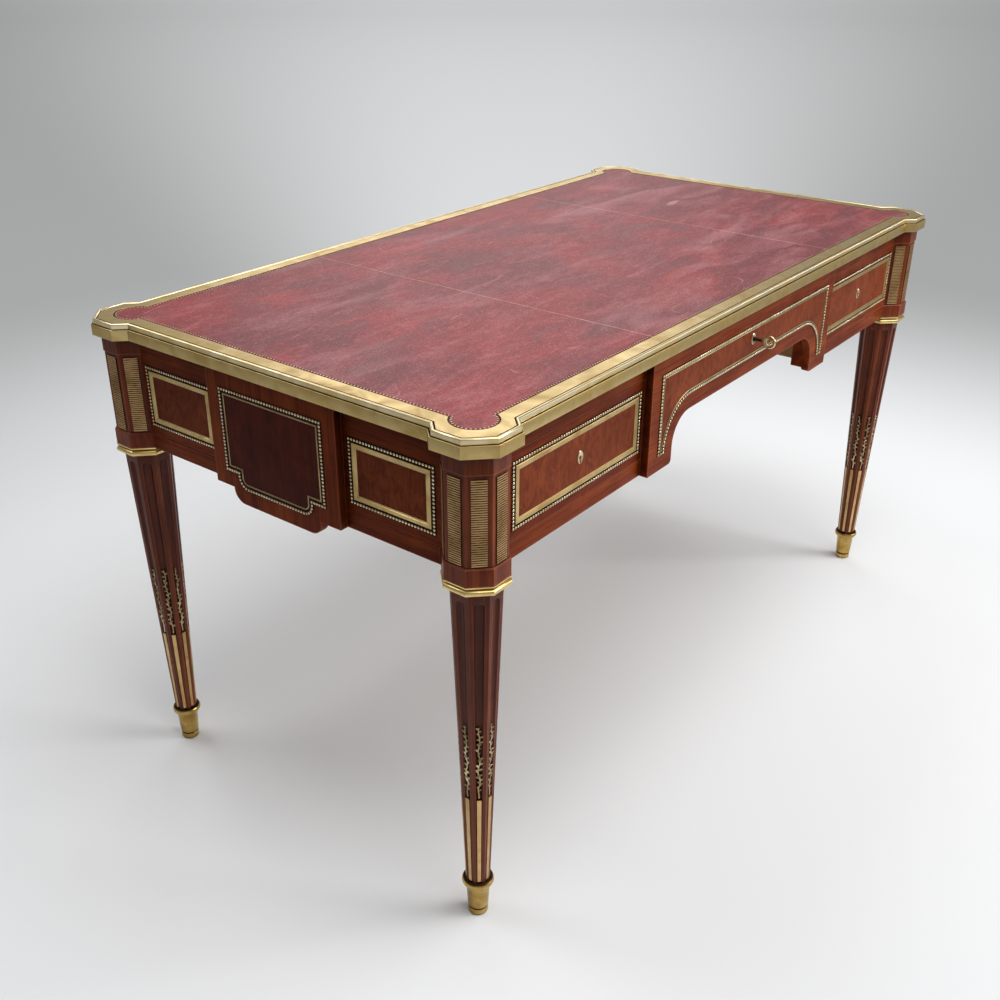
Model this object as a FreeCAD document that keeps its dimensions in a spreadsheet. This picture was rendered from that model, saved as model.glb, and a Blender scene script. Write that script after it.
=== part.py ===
"""Neoclassical writing table with a leather top, three drawers and octagonal fluted legs.

Millimetres, +Z up. The origin is on the floor under the middle of the top, the drawers face -Y.
Every size that can be set by itself is a cell of the sheet, and all else follows from those cells.
"""
import FreeCAD, Part
import math
import os
import re

import Sketcher

SIZES = {
    # Top: overall size, stepped and canted corners, brass edge
    "top_length": 1400,
    "top_width": 745,
    "top_height": 762,
    "corner_cant": 32,
    "corner_edge": 46,
    "corner_step": 16,
    "corner_return": 14,
    "edge_height": 24,
    "fascia_height": 16,
    "fascia_chamfer": 1,
    "moulding_wall": 5,
    "bead_setback": 2.9,
    "bead_radius": 2.4,
    "quirk_width": 1.3,
    "quirk_depth": 1.4,
    "board_thickness": 20.4,
    "band_thickness": 3,
    "border_width": 30,
    # Leather: thickness, round corner lobes, two cross seams
    "leather_thickness": 2.5,
    "leather_gap": 0.2,
    "lobe_radius": 31,
    "lobe_inset": 58,
    "left_seam": 265,
    "right_seam": 318,
    "seam_gap": 0.4,
    # Frieze: rails, forward centre fronts and their arch
    "frieze_height": 172.5,
    "upper_rail_height": 26,
    "lower_rail_height": 25,
    "rail_thickness": 20,
    "breakfront_reveal": 5,
    "breakfront_depth": 13,
    "breakfront_gap": 1,
    "centre_width": 600,
    "divider_thickness": 16,
    "pendant_width": 65,
    "arch_rise": 71.5,
    "arch_radius": 45,
    "pendant_round": 6,
    "pendant_block_depth": 20,
    "pendant_block_height": 66,
    # Shaped centre panel of each end
    "end_panel_width": 242,
    "end_panel_drop": 21.5,
    "end_drop_width": 172,
    "end_drop_radius": 20.5,
    # Legs: octagonal head, cap, collar and tapered fluted shaft, sizes across the flats
    "leg_inset": 51.5,
    "head_width": 77,
    "cap_width": 80,
    "collar_width": 82.4,
    "collar_chamfer": 1.5,
    "shaft_top_width": 66.4,
    "shaft_foot_width": 32,
    "flute_start": 27.5,
    "flute_top_width": 14.5,
    "flute_top_depth": 4.5,
    "flute_foot_width": 6.5,
    "flute_foot_depth": 2.5,
    # Brass on the legs
    "ring_width": 86,
    "ring_height": 7.5,
    "ring_round": 3.4,
    "ring_fillet_width": 83.4,
    "ring_fillet_height": 6,
    "plaque_width": 19.5,
    "plaque_height": 115,
    "plaque_backing": 1.2,
    "plaque_clearance": 1.5,
    "rib_height": 1.6,
    "rib_count": 28,
    "strip_foot": 68,
    "strip_length": 152,
    "strip_foot_width": 4.9,
    "strip_top_width": 6.4,
    "strip_sunk": 1.3,
    "strip_proud": 0.8,
    "garland_gap": 3,
    "garland_length": 120,
    "garland_radius": 1.7,
    "garland_sunk": 1.3,
    # Sabots
    "toe_radius": 13.3,
    "toe_height": 10.5,
    "toe_round": 1.5,
    "toe_groove": 1.6,
    "cup_foot_radius": 13.8,
    "cup_foot_height": 13.5,
    "cup_top_radius": 17,
    "socket_height": 54,
    "socket_radius": 17.9,
    "sabot_lip": 0.6,
    "sabot_ring_height": 12.4,
    "sabot_ring_radius": 6.6,
    # Drawers
    "drawer_gap": 0.5,
    "drawer_back_gap": 27,
    "drawer_side_thickness": 12,
    "drawer_side_inset": 5.5,
    "drawer_back_height": 94,
    "drawer_bottom_rise": 5,
    "drawer_bottom_thickness": 7,
    "drawer_top_gap": 2,
    "centre_drawer_rise": 78.5,
    "centre_front_backing": 16.5,
    "centre_back_height": 50,
    "runner_width": 20,
    "runner_height": 18,
    "kicker_height": 20,
    "centre_runner_setback": 38.5,
    # Brass frames on the fronts and panels
    "frame_inset": 9,
    "frame_rise": 14,
    "bead_row_width": 4.4,
    "bead_row_proud": 2.2,
    "band_gap": 2.4,
    "band_width": 7.6,
    "band_proud": 1.6,
    "centre_frame_inset": 24,
    "fillet_margin": 1,
    "end_fillet_gap": 3.2,
    "fillet_width": 2.2,
    "fillet_proud": 1.4,
    "end_frame_drop_width": 146,
    "end_frame_radius": 18.5,
    # Locks, keyholes and the key
    "lock_width": 48,
    "lock_depth": 12,
    "lock_tail": 14,
    "bolt_width": 16,
    "bolt_thickness": 4.4,
    "bolt_throw": 7,
    "bolt_clearance": 0.3,
    "mortise_clearance": 0.6,
    "bit_reach": 8.5,
    "bit_width": 4,
    "bit_thickness": 2,
    "bit_clearance": 0.6,
    "shank_radius": 2.5,
    "shank_clearance": 0.3,
    "key_projection": 38,
    "key_collar_radius": 3.8,
    "key_collar_length": 3,
    "key_neck_radius": 3.3,
    "key_neck_length": 3,
    "bow_radius": 8.5,
    "bow_wire_radius": 2,
    "escutcheon_gap": 0.8,
    "side_key_drop": 60.5,
    "escutcheon_height": 19,
    "escutcheon_width": 12,
    "escutcheon_thickness": 1.5,
}

doc = FreeCAD.newDocument("WritingTable")
sheet = doc.addObject("Spreadsheet::Sheet", "Sizes")
for row, (alias, number) in enumerate(SIZES.items(), start=1):
    sheet.set(f"A{row}", alias)
    sheet.set(f"B{row}", str(number))
    sheet.setAlias(f"B{row}", alias)
doc.recompute()

# Places that several pieces share, written in the sheet's words
HALF_X = "(top_length / 2)"
HALF_Y = "(top_width / 2)"
EDGE_X = f"({HALF_X} - corner_step)"
EDGE_Y = f"({HALF_Y} - corner_step)"
TOP_UNDER = "(top_height - edge_height)"
BOARD_TOP = f"({TOP_UNDER} + board_thickness)"
MOULDING_WIDTH = "(bead_setback + 2 * bead_radius + quirk_width)"
FRIEZE_FOOT = f"({TOP_UNDER} - frieze_height)"
DRAWER_SILL = f"({FRIEZE_FOOT} + lower_rail_height)"
DRAWER_HEAD = f"({TOP_UNDER} - upper_rail_height)"
FRONT_FACE = f"({EDGE_Y} - breakfront_reveal)"
APRON_FACE = f"({FRONT_FACE} - breakfront_depth)"
APRON_BACK = f"({APRON_FACE} - rail_thickness)"
END_FACE = f"({EDGE_X} - breakfront_reveal)"
END_APRON = f"({END_FACE} - breakfront_depth)"
END_BACK = f"({END_APRON} - rail_thickness)"
BREAKFRONT_TOP = f"({TOP_UNDER} - breakfront_gap)"
LEG_X = f"({HALF_X} - leg_inset)"
LEG_Y = f"({HALF_Y} - leg_inset)"
HEAD_SIDE_X = f"({LEG_X} - head_width / 2)"
HEAD_SIDE_Y = f"({LEG_Y} - head_width / 2)"
CAP_SIDE_X = f"({LEG_X} - cap_width / 2)"
CAP_SIDE_Y = f"({LEG_Y} - cap_width / 2)"
COLLAR_SIDE_X = f"({LEG_X} - collar_width / 2)"
COLLAR_SIDE_Y = f"({LEG_Y} - collar_width / 2)"
CENTRE_SIDE = "(centre_width / 2)"
ARCH_SIDE = f"({CENTRE_SIDE} - pendant_width)"
ARCH_SHOULDER = f"({ARCH_SIDE} - arch_radius)"
ARCH_SPRING = f"({FRIEZE_FOOT} + arch_rise - arch_radius)"
DIVIDER_SIDE = f"({CENTRE_SIDE} - divider_thickness)"
FRONT_FOOT = f"({DRAWER_SILL} + drawer_gap)"
FRONT_HEAD = f"({DRAWER_HEAD} - drawer_gap)"
CENTRE_FOOT = f"({FRIEZE_FOOT} + centre_drawer_rise)"
CENTRE_BACKING = f"({APRON_FACE} - centre_front_backing)"
DRAWER_END = f"({APRON_BACK} - drawer_back_gap)"
SIDES = {"left": -1, "right": 1}
CORNERS = {"front_left": (-1, -1), "front_right": (1, -1), "back_left": (-1, 1), "back_right": (1, 1)}
OCTAGON = 8
HALF_TURN_OF_FACE = 180 / OCTAGON
# How far a cutter runs past the face that it leaves by
OVERRUN = 1

WORD = re.compile(r"[a-z][a-z_0-9]*")
nodes = {}


def bound(text):
    """The expression with every size written as a cell of the sheet."""
    return WORD.sub(lambda word: f"Sizes.{word[0]}" if word[0] in SIZES else word[0], str(text))


def value(text):
    """The number that an expression in the sheet's words has now."""
    return float(sheet.evalExpression(str(text)))


def bind(item, **properties):
    """Ties properties of an object to expressions in the sheet's words."""
    for name, text in properties.items():
        item.setExpression(name, bound(text))


def place(item, x="0", y="0", z="0"):
    """Ties an object's position to expressions in the sheet's words."""
    for axis, text in (("x", x), ("y", y), ("z", z)):
        item.setExpression(f"Placement.Base.{axis}", bound(text))
    return item


def turned(item, axis, angle):
    """Turns an object about an axis through its own origin."""
    item.Placement.Rotation = FreeCAD.Rotation(FreeCAD.Vector(*axis), angle)
    return item


def keep(item):
    """Counts an object as a sub-part, under its label."""
    nodes[item.Label] = item
    return item


def block(label, x, y, z):
    """A box between low and high expressions along each axis."""
    box = doc.addObject("Part::Box", label)
    box.Label = label
    bind(box, Length=f"({x[1]}) - ({x[0]})", Width=f"({y[1]}) - ({y[0]})", Height=f"({z[1]}) - ({z[0]})")
    return place(box, x[0], y[0], z[0])


def mirrored(sign, near, far):
    """Low and high of a span that lies between two distances on one side of the middle."""
    return (near, far) if sign > 0 else (f"-({far})", f"-({near})")


def about(middle, half):
    """Low and high of a span about a middle."""
    return f"({middle}) - ({half})", f"({middle}) + ({half})"


def rod(label, radius, x, y, z):
    """A cylinder along Y between two y expressions."""
    cylinder = doc.addObject("Part::Cylinder", label)
    bind(cylinder, Radius=radius, Height=f"({y[1]}) - ({y[0]})")
    turned(cylinder, (1, 0, 0), -90)
    return place(cylinder, x, y[0], z)


def octagon(label, width, low, high):
    """An eight-sided prism about the Z axis, with two faces square to X, between two heights."""
    prism = doc.addObject("Part::Prism", label)
    prism.Polygon = OCTAGON
    bind(prism, Circumradius=f"({width}) / 2 / cos({HALF_TURN_OF_FACE})", Height=f"({high}) - ({low})")
    turned(prism, (0, 0, 1), HALF_TURN_OF_FACE)
    return place(prism, z=low)


def group(label, items):
    """Several solids kept together as one object."""
    compound = doc.addObject("Part::Compound", label)
    compound.Label = label
    compound.Links = items
    return compound


def copy_at(label, item, x="0", y="0", z="0", angle=0):
    """The same solid again, turned about Z and moved."""
    copy = turned(group(label, [item]), (0, 0, 1), angle)
    return place(copy, x, y, z)


def union(label, items):
    """One solid made of several."""
    fused = doc.addObject("Part::MultiFuse", label)
    fused.Label = label
    fused.Shapes = items
    fused.Refine = True
    return fused


def cut(label, base, tools):
    """A solid with others taken out of it."""
    result = doc.addObject("Part::Cut", label)
    result.Label = label
    result.Base = base
    result.Tool = tools[0] if len(tools) == 1 else group(f"{label}_cutters", tools)
    result.Refine = True
    return result


def pin(sketch, edge, end, point):
    """Ties one end of an edge to the two coordinates of a point."""
    for kind, text in (("DistanceX", point[0]), ("DistanceY", point[1])):
        size = sketch.addConstraint(Sketcher.Constraint(kind, -1, 1, edge, end, value(text)))
        sketch.setExpression(f"Constraints[{size}]", bound(text))


def draw_loop(sketch, points):
    """Draws a closed outline whose points and radii follow the sheet.

    A point is (across, up) or (across, up, radius, turn): the stretch after it is then an arc of that
    radius with its centre on the left (turn 1) or the right (turn -1) of the way, under a half circle.
    """
    first = sketch.GeometryCount
    spots = [FreeCAD.Vector(value(point[0]), value(point[1]), 0) for point in points]
    ends = []
    for index, point in enumerate(points):
        start = spots[index]
        end = spots[(index + 1) % len(points)]
        if len(point) == 2:
            sketch.addGeometry(Part.LineSegment(start, end), False)
            ends.append((1, 2))
            continue
        radius = value(point[2])
        chord = end - start
        rise = math.sqrt(radius ** 2 - (chord.Length / 2) ** 2)
        middle = (start + end) / 2
        centre = middle + FreeCAD.Vector(-chord.y, chord.x, 0).normalize() * rise * point[3]
        low, high = (start, end) if point[3] > 0 else (end, start)
        angles = [math.atan2(spot.y - centre.y, spot.x - centre.x) for spot in (low, high)]
        circle = Part.Circle(centre, FreeCAD.Vector(0, 0, 1), radius)
        sketch.addGeometry(Part.ArcOfCircle(circle, angles[0], angles[1]), False)
        ends.append((1, 2) if point[3] > 0 else (2, 1))
    for index, point in enumerate(points):
        edge = first + index
        following = (index + 1) % len(points)
        joint = Sketcher.Constraint("Coincident", edge, ends[index][1], first + following, ends[following][0])
        sketch.addConstraint(joint)
        pin(sketch, edge, ends[index][0], point)
        if len(point) > 2:
            size = sketch.addConstraint(Sketcher.Constraint("Radius", edge, value(point[2])))
            sketch.setExpression(f"Constraints[{size}]", bound(point[2]))


def draw_path(sketch, points):
    """Draws an open run of straight stretches whose points follow the sheet."""
    spots = [FreeCAD.Vector(value(across), value(up), 0) for across, up in points]
    for index in range(len(points) - 1):
        sketch.addGeometry(Part.LineSegment(spots[index], spots[index + 1]), False)
        if index:
            sketch.addConstraint(Sketcher.Constraint("Coincident", index - 1, 2, index, 1))
    for index, point in enumerate(points):
        edge, end = (index, 1) if index < len(points) - 1 else (index - 1, 2)
        pin(sketch, edge, end, point)


def body_sketch(body, role, loops, name):
    """A sketch of closed outlines on one of a body's own origin planes."""
    sketch = body.newObject("Sketcher::SketchObject", name)
    plane = [feature for feature in body.Origin.OriginFeatures if feature.Role == role][0]
    sketch.AttachmentSupport = (plane, [""])
    sketch.MapMode = "FlatFace"
    for loop in loops:
        draw_loop(sketch, loop)
    return sketch


def pad(body, role, loops, length, backwards=False):
    """Thickens outlines on an origin plane: XZ goes towards -Y, YZ towards +X, XY towards +Z."""
    sketch = body_sketch(body, role, loops, f"{body.Name}_outline")
    feature = body.newObject("PartDesign::Pad", f"{body.Name}_pad")
    feature.Profile = sketch
    feature.Reversed = backwards
    bind(feature, Length=length)
    return feature


def plate(label, role, loops, thickness, **spot):
    """A body of one thickness with the given outlines, placed by expressions."""
    body = doc.addObject("PartDesign::Body", label)
    body.Label = label
    pad(body, role, loops, thickness)
    return place(body, **spot)


def rectangle(across, up):
    """A rectangle's outline between low and high expressions."""
    return [(across[0], up[0]), (across[1], up[0]), (across[1], up[1]), (across[0], up[1])]


# Outlines that more than one piece follows


def top_outline(inset):
    """The top's plan with stepped and canted corners, drawn in by an inset on every side."""
    slant = f"({inset}) * tan({HALF_TURN_OF_FACE})"
    reach = "corner_cant + corner_edge"
    quarter = [
        (f"{EDGE_X} - ({inset})", f"{HALF_Y} - ({reach}) - corner_step + {slant}"),
        (f"{HALF_X} - ({inset})", f"{HALF_Y} - ({reach}) + {slant}"),
        (f"{HALF_X} - ({inset})", f"{HALF_Y} - corner_cant - {slant}"),
        (f"{HALF_X} - corner_cant - {slant}", f"{HALF_Y} - ({inset})"),
        (f"{HALF_X} - ({reach}) + {slant}", f"{HALF_Y} - ({inset})"),
        (f"{HALF_X} - ({reach}) - corner_step + {slant}", f"{EDGE_Y} - ({inset})"),
    ]
    loop = list(quarter)
    loop += [(f"-({x})", y) for x, y in reversed(quarter)]
    loop += [(f"-({x})", f"-({y})") for x, y in quarter]
    loop += [(x, f"-({y})") for x, y in reversed(quarter)]
    return loop


def leather_outline(inset):
    """The leather's plan: straight sides with a round lobe into each corner, drawn in by an inset."""
    side_x = f"({EDGE_X} - border_width - {inset})"
    side_y = f"({EDGE_Y} - border_width - {inset})"
    radius = f"(lobe_radius - {inset})"
    centre_x = f"({HALF_X} - lobe_inset)"
    centre_y = f"({HALF_Y} - lobe_inset)"
    chord_y = f"({centre_y} - sqrt({radius} ^ 2 - ({side_x} - {centre_x}) ^ 2))"
    chord_x = f"({centre_x} - sqrt({radius} ^ 2 - ({side_y} - {centre_y}) ^ 2))"
    tip_x = f"({centre_x} + {radius} * sqrt(0.5))"
    tip_y = f"({centre_y} + {radius} * sqrt(0.5))"
    quarter = [(side_x, chord_y), (tip_x, tip_y), (chord_x, side_y)]
    loop = []
    for sign_x, sign_y in ((1, 1), (-1, 1), (-1, -1), (1, -1)):
        corner = quarter if sign_x * sign_y > 0 else quarter[::-1]
        spots = [(f"{sign_x} * {x}", f"{sign_y} * {y}") for x, y in corner]
        loop += [(*spots[0], radius, 1), (*spots[1], radius, 1), spots[2]]
    return loop


def mirror_loop(half):
    """A closed outline from its right half, which runs downwards from the head."""
    arcs = [point[2:] for point in half]
    spots = [(f"-({point[0]})", point[1]) for point in half]
    back = [(*spot, *arc) for spot, arc in zip(spots[::-1], [*arcs[-2::-1], ()])]
    return [*half, *back]


def centre_outline(inset, rounded=False):
    """The forward centre front's face with its arch and pendants, drawn in by an inset."""
    side = f"({CENTRE_SIDE} - {inset})"
    foot = f"({FRIEZE_FOOT} + {inset})"
    arch_side = f"({ARCH_SIDE} + {inset})"
    radius = f"(arch_radius + {inset})"
    pendant = [(arch_side, foot)]
    if rounded:
        turn_up = (f"{arch_side} + pendant_round", foot, "pendant_round", -1)
        pendant = [turn_up, (arch_side, f"{foot} + pendant_round")]
    return mirror_loop([
        (side, f"{BREAKFRONT_TOP} - {inset}"),
        (side, foot),
        *pendant,
        (arch_side, ARCH_SPRING, radius, 1),
        (ARCH_SHOULDER, f"{ARCH_SPRING} + {radius}"),
    ])


def centre_fillet_outline(inset):
    """The centre front's inner fillet, which comes to a point over each pendant."""
    side = f"({CENTRE_SIDE} - {inset})"
    radius = f"(arch_radius + {inset})"
    tip = f"({ARCH_SPRING} + sqrt({radius} ^ 2 - ({side} - {ARCH_SHOULDER}) ^ 2))"
    return mirror_loop([
        (side, f"{BREAKFRONT_TOP} - {inset}"),
        (side, tip, radius, 1),
        (ARCH_SHOULDER, f"{ARCH_SPRING} + {radius}"),
    ])


def dropped_outline(half, head, shoulder, drop_half, foot, radius):
    """A panel whose lower edge drops in the middle, with round corners on the drop."""
    return mirror_loop([
        (half, head),
        (half, shoulder),
        (drop_half, shoulder),
        (drop_half, f"{foot} + {radius}", radius, -1),
        (f"{drop_half} - {radius}", foot),
    ])


def end_outline(inset):
    """The end panel's bead row, drawn in by a further inset."""
    drawn_in = f"(centre_frame_inset + {inset})"
    return dropped_outline(
        f"(end_panel_width / 2 - {drawn_in})",
        f"({BREAKFRONT_TOP} - {drawn_in})",
        f"({FRIEZE_FOOT} + {drawn_in})",
        f"(end_frame_drop_width / 2 - {inset})",
        f"({FRIEZE_FOOT} - end_panel_drop + {drawn_in})",
        f"(end_frame_radius - {inset})",
    )


# Top


def build_top():
    """Top board, leather panels, flat brass band and brass edge moulding."""
    keep(plate("top_board", "XY_Plane", [top_outline("moulding_wall")], "board_thickness", z=TOP_UNDER))
    band_loops = [top_outline(MOULDING_WIDTH), leather_outline("0")]
    keep(plate("brass_band", "XY_Plane", band_loops, "band_thickness", z=BOARD_TOP))
    sheet_loops = [leather_outline("leather_gap")]
    hide = plate("leather_sheet", "XY_Plane", sheet_loops, "leather_thickness", z=BOARD_TOP)
    spans = {
        "leather_left": (f"-{HALF_X}", "-left_seam - seam_gap / 2"),
        "leather_centre": ("-left_seam + seam_gap / 2", "right_seam - seam_gap / 2"),
        "leather_right": ("right_seam + seam_gap / 2", HALF_X),
    }
    for label, span in spans.items():
        panel = doc.addObject("Part::Common", label)
        panel.Label = label
        panel.Base = hide
        panel.Tool = block(f"{label}_span", span, (f"-{HALF_Y}", HALF_Y), (TOP_UNDER, "top_height"))
        keep(panel)
    build_edge_moulding()


def edge_profile(label, **spot):
    """The moulding's section: fascia, bead between two quirks, and a flange over the board's edge."""
    outer_quirk = "fascia_height - quirk_depth"
    inner_quirk = "board_thickness + band_thickness - 2 * quirk_depth"
    bead_back = "-bead_setback - 2 * bead_radius"
    sketch = doc.addObject("Sketcher::SketchObject", label)
    draw_loop(sketch, [
        ("0", "0"),
        ("0", "fascia_height - fascia_chamfer"),
        ("-fascia_chamfer", "fascia_height"),
        ("-bead_setback + quirk_width", "fascia_height"),
        ("-bead_setback + quirk_width", outer_quirk),
        ("-bead_setback", outer_quirk),
        ("-bead_setback", "edge_height - bead_radius", "bead_radius", -1),
        ("-bead_setback - bead_radius", "edge_height", "bead_radius", -1),
        (bead_back, "edge_height - bead_radius"),
        (bead_back, inner_quirk),
        (f"-{MOULDING_WIDTH}", inner_quirk),
        (f"-{MOULDING_WIDTH}", "board_thickness"),
        ("-moulding_wall", "board_thickness"),
        ("-moulding_wall", "0"),
    ])
    turned(sketch, (1, 0, 0), 90)
    return place(sketch, **spot)


def build_edge_moulding():
    """Stepped corner castings and the straight lengths between them."""
    reach = "corner_cant + corner_edge"
    run_start = f"-({reach}) - corner_step - corner_return"
    path = doc.addObject("Sketcher::SketchObject", "corner_path")
    draw_path(path, [
        ("-corner_step", run_start),
        ("-corner_step", f"-({reach}) - corner_step"),
        ("0", f"-({reach})"),
        ("0", "-corner_cant"),
        ("-corner_cant", "0"),
        (f"-({reach})", "0"),
        (f"-({reach}) - corner_step", "-corner_step"),
        (run_start, "-corner_step"),
    ])
    casting = doc.addObject("Part::Sweep", "corner_casting")
    casting.Sections = [edge_profile("corner_profile", x="-corner_step", y=run_start)]
    casting.Spine = (path, [f"Edge{edge + 1}" for edge in range(path.GeometryCount)])
    casting.Solid = True
    casting.Transition = "Right corner"
    quarter_turns = {"back_right": 0, "back_left": 90, "front_left": 180, "front_right": 270}
    castings = []
    for name, angle in quarter_turns.items():
        sign_x, sign_y = CORNERS[name]
        spot = (f"{sign_x} * {HALF_X}", f"{sign_y} * {HALF_Y}", TOP_UNDER)
        castings.append(copy_at(f"corner_casting_{name}", casting, *spot, angle))
    keep(group("edge_moulding_corners", castings))
    lengths = []
    for run, half, edge, angles in (("end", HALF_Y, EDGE_X, (0, 180)), ("side", HALF_X, EDGE_Y, (90, 270))):
        straight = doc.addObject("Part::Extrusion", f"{run}_length")
        straight.Base = edge_profile(f"{run}_profile")
        straight.DirMode = "Custom"
        straight.Dir = FreeCAD.Vector(0, 1, 0)
        straight.Solid = True
        reach_in = f"({half} - ({reach}) - corner_step - corner_return)"
        bind(straight, LengthFwd=f"2 * {reach_in}")
        for angle in angles:
            sign = 1 if angle < 180 else -1
            spot = (f"{sign} * {edge}", f"{-sign} * {reach_in}")
            if run == "side":
                spot = (f"{sign} * {reach_in}", f"{sign} * {edge}")
            lengths.append(copy_at(f"{run}_length_{angle}", straight, *spot, TOP_UNDER, angle))
    keep(group("edge_moulding_lengths", lengths))


# Legs


def shaft_width(height):
    """Width across the flats of the tapered shaft at a height, as an expression."""
    rate = f"(shaft_top_width - shaft_foot_width) / ({FRIEZE_FOOT} - socket_height)"
    return f"(shaft_foot_width + ({height} - socket_height) * {rate})"


def flute_circle(width, depth):
    """Radius of a flute's section, and how far its centre lies outside the face."""
    radius = f"((({width}) ^ 2 / 4 + ({depth}) ^ 2) / (2 * ({depth})))"
    return radius, f"({radius} - ({depth}))"


def lay_along_face(item, foot, foot_reach, top, top_reach, turn):
    """Stands an object on a leaning line beside the leg's axis, then turns it round the leg."""
    rise = value(f"{top} - ({foot})")
    lean = math.degrees(math.atan2(value(f"{top_reach} - ({foot_reach})"), rise))
    upright = FreeCAD.Rotation(FreeCAD.Vector(0, 1, 0), lean)
    around = FreeCAD.Rotation(FreeCAD.Vector(0, 0, 1), turn)
    item.Placement.Rotation = around.multiply(upright)
    return place(item, f"({foot_reach}) * cos({turn})", f"({foot_reach}) * sin({turn})", foot)


def build_leg_wood():
    """One leg: cap, head, collar and tapered shaft with a round-topped flute on every face."""
    rings = []
    for name, height in (("foot", "socket_height"), ("top", FRIEZE_FOOT)):
        polygon = doc.addObject("Part::RegularPolygon", f"shaft_{name}")
        polygon.Polygon = OCTAGON
        bind(polygon, Circumradius=f"shaft_{name}_width / 2 / cos({HALF_TURN_OF_FACE})")
        turned(polygon, (0, 0, 1), HALF_TURN_OF_FACE)
        rings.append(place(polygon, z=height))
    shaft = doc.addObject("Part::Loft", "shaft")
    shaft.Sections = rings
    shaft.Solid = True
    shaft.Ruled = True
    collar = octagon("collar", "collar_width", FRIEZE_FOOT, DRAWER_SILL)
    head = octagon("head", "head_width", DRAWER_SILL, DRAWER_HEAD)
    cap = octagon("cap", "cap_width", DRAWER_HEAD, TOP_UNDER)
    doc.recompute()
    eased = doc.addObject("Part::Chamfer", "eased_collar")
    eased.Base = collar
    top_height = value(DRAWER_SILL)
    tops = [i + 1 for i, edge in enumerate(collar.Shape.Edges) if abs(edge.BoundBox.ZMin - top_height) < 1e-6]
    chamfer = value("collar_chamfer")
    eased.Edges = [(edge, chamfer, chamfer) for edge in tops]
    blank = union("leg_blank", [shaft, eased, head, cap])
    top_radius, top_out = flute_circle("flute_top_width", "flute_top_depth")
    foot_radius, foot_out = flute_circle("flute_foot_width", "flute_foot_depth")
    foot = f"(socket_height - {OVERRUN})"
    top = f"({FRIEZE_FOOT} - flute_start - flute_top_width / 2)"
    foot_reach = f"({shaft_width(foot)} / 2 + {foot_out})"
    top_reach = f"({shaft_width(top)} / 2 + {top_out})"
    cutters = []
    for face in range(OCTAGON):
        turn = face * 360 / OCTAGON
        groove = doc.addObject("Part::Cone", f"flute_{face}")
        length = f"sqrt(({top} - {foot}) ^ 2 + ({top_reach} - {foot_reach}) ^ 2)"
        bind(groove, Radius1=foot_radius, Radius2=top_radius, Height=length)
        lay_along_face(groove, foot, foot_reach, top, top_reach, turn)
        crown = doc.addObject("Part::Sphere", f"flute_crown_{face}")
        bind(crown, Radius=top_radius)
        place(crown, f"{top_reach} * cos({turn})", f"{top_reach} * sin({turn})", top)
        cutters.append(union(f"flute_cutter_{face}", [groove, crown]))
    return cut("leg_wood", blank, cutters)


def build_leg_ring():
    """The brass moulding under a collar: a half-round octagon below a thin fillet."""
    foot = f"({FRIEZE_FOOT} - ring_fillet_height - ring_height)"
    step = f"({FRIEZE_FOOT} - ring_fillet_height)"
    lower = octagon("ring_half_round", "ring_width", foot, step)
    upper = octagon("ring_fillet", "ring_fillet_width", step, FRIEZE_FOOT)
    doc.recompute()
    rounded = doc.addObject("Part::Fillet", "ring_rounded")
    rounded.Base = lower
    flats = [i + 1 for i, edge in enumerate(lower.Shape.Edges) if edge.BoundBox.ZLength < 1e-6]
    radius = value("ring_round")
    rounded.Edges = [(edge, radius, radius) for edge in flats]
    hole = octagon("ring_hole", "shaft_top_width", f"{foot} - {OVERRUN}", f"{FRIEZE_FOOT} + {OVERRUN}")
    return cut("ring_master", union("ring_blank", [rounded, upper]), [hole])


def build_plaque():
    """One ribbed plaque: its back is on X = 0, its foot on Z = 0, the ribs run across."""
    crest = "plaque_backing + rib_height"
    ribs = []
    for rib in range(int(value("rib_count"))):
        ribs.append(("plaque_backing", f"plaque_height * {rib} / rib_count"))
        ribs.append((crest, f"plaque_height * ({rib} + 0.5) / rib_count"))
    outline = [("0", "0"), *ribs, ("plaque_backing", "plaque_height"), ("0", "plaque_height")]
    body = doc.addObject("PartDesign::Body", "plaque_master")
    pad(body, "XZ_Plane", [outline], "plaque_width").Midplane = True
    return body


def build_strip(turn):
    """A flat brass strip that fills the foot of one flute, narrower towards the floor."""
    strip = doc.addObject("Part::Wedge", f"strip_{turn:g}")
    top = "(strip_foot + strip_length)"
    bind(strip, Xmin="-strip_sunk", Xmax="strip_proud", X2min="-strip_sunk", X2max="strip_proud")
    bind(strip, Ymin="0", Ymax="strip_length")
    bind(strip, Zmin="-strip_foot_width / 2", Zmax="strip_foot_width / 2")
    bind(strip, Z2min="-strip_top_width / 2", Z2max="strip_top_width / 2")
    foot_reach = f"({shaft_width('strip_foot')} / 2)"
    top_reach = f"({shaft_width(top)} / 2)"
    lay_along_face(strip, "strip_foot", foot_reach, top, top_reach, turn)
    strip.Placement.Rotation = strip.Placement.Rotation.multiply(FreeCAD.Rotation(FreeCAD.Vector(1, 0, 0), 90))
    return strip


def build_garland(turn):
    """The stem of a garland mount that lies in one flute above the strip."""
    stem = doc.addObject("Part::Cylinder", f"garland_{turn:g}")
    bind(stem, Radius="garland_radius", Height="garland_length")
    foot = "(strip_foot + strip_length + garland_gap)"
    top = f"({foot} + garland_length)"
    foot_reach = f"({shaft_width(foot)} / 2 - garland_sunk)"
    top_reach = f"({shaft_width(top)} / 2 - garland_sunk)"
    return lay_along_face(stem, foot, foot_reach, top, top_reach, turn)


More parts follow.
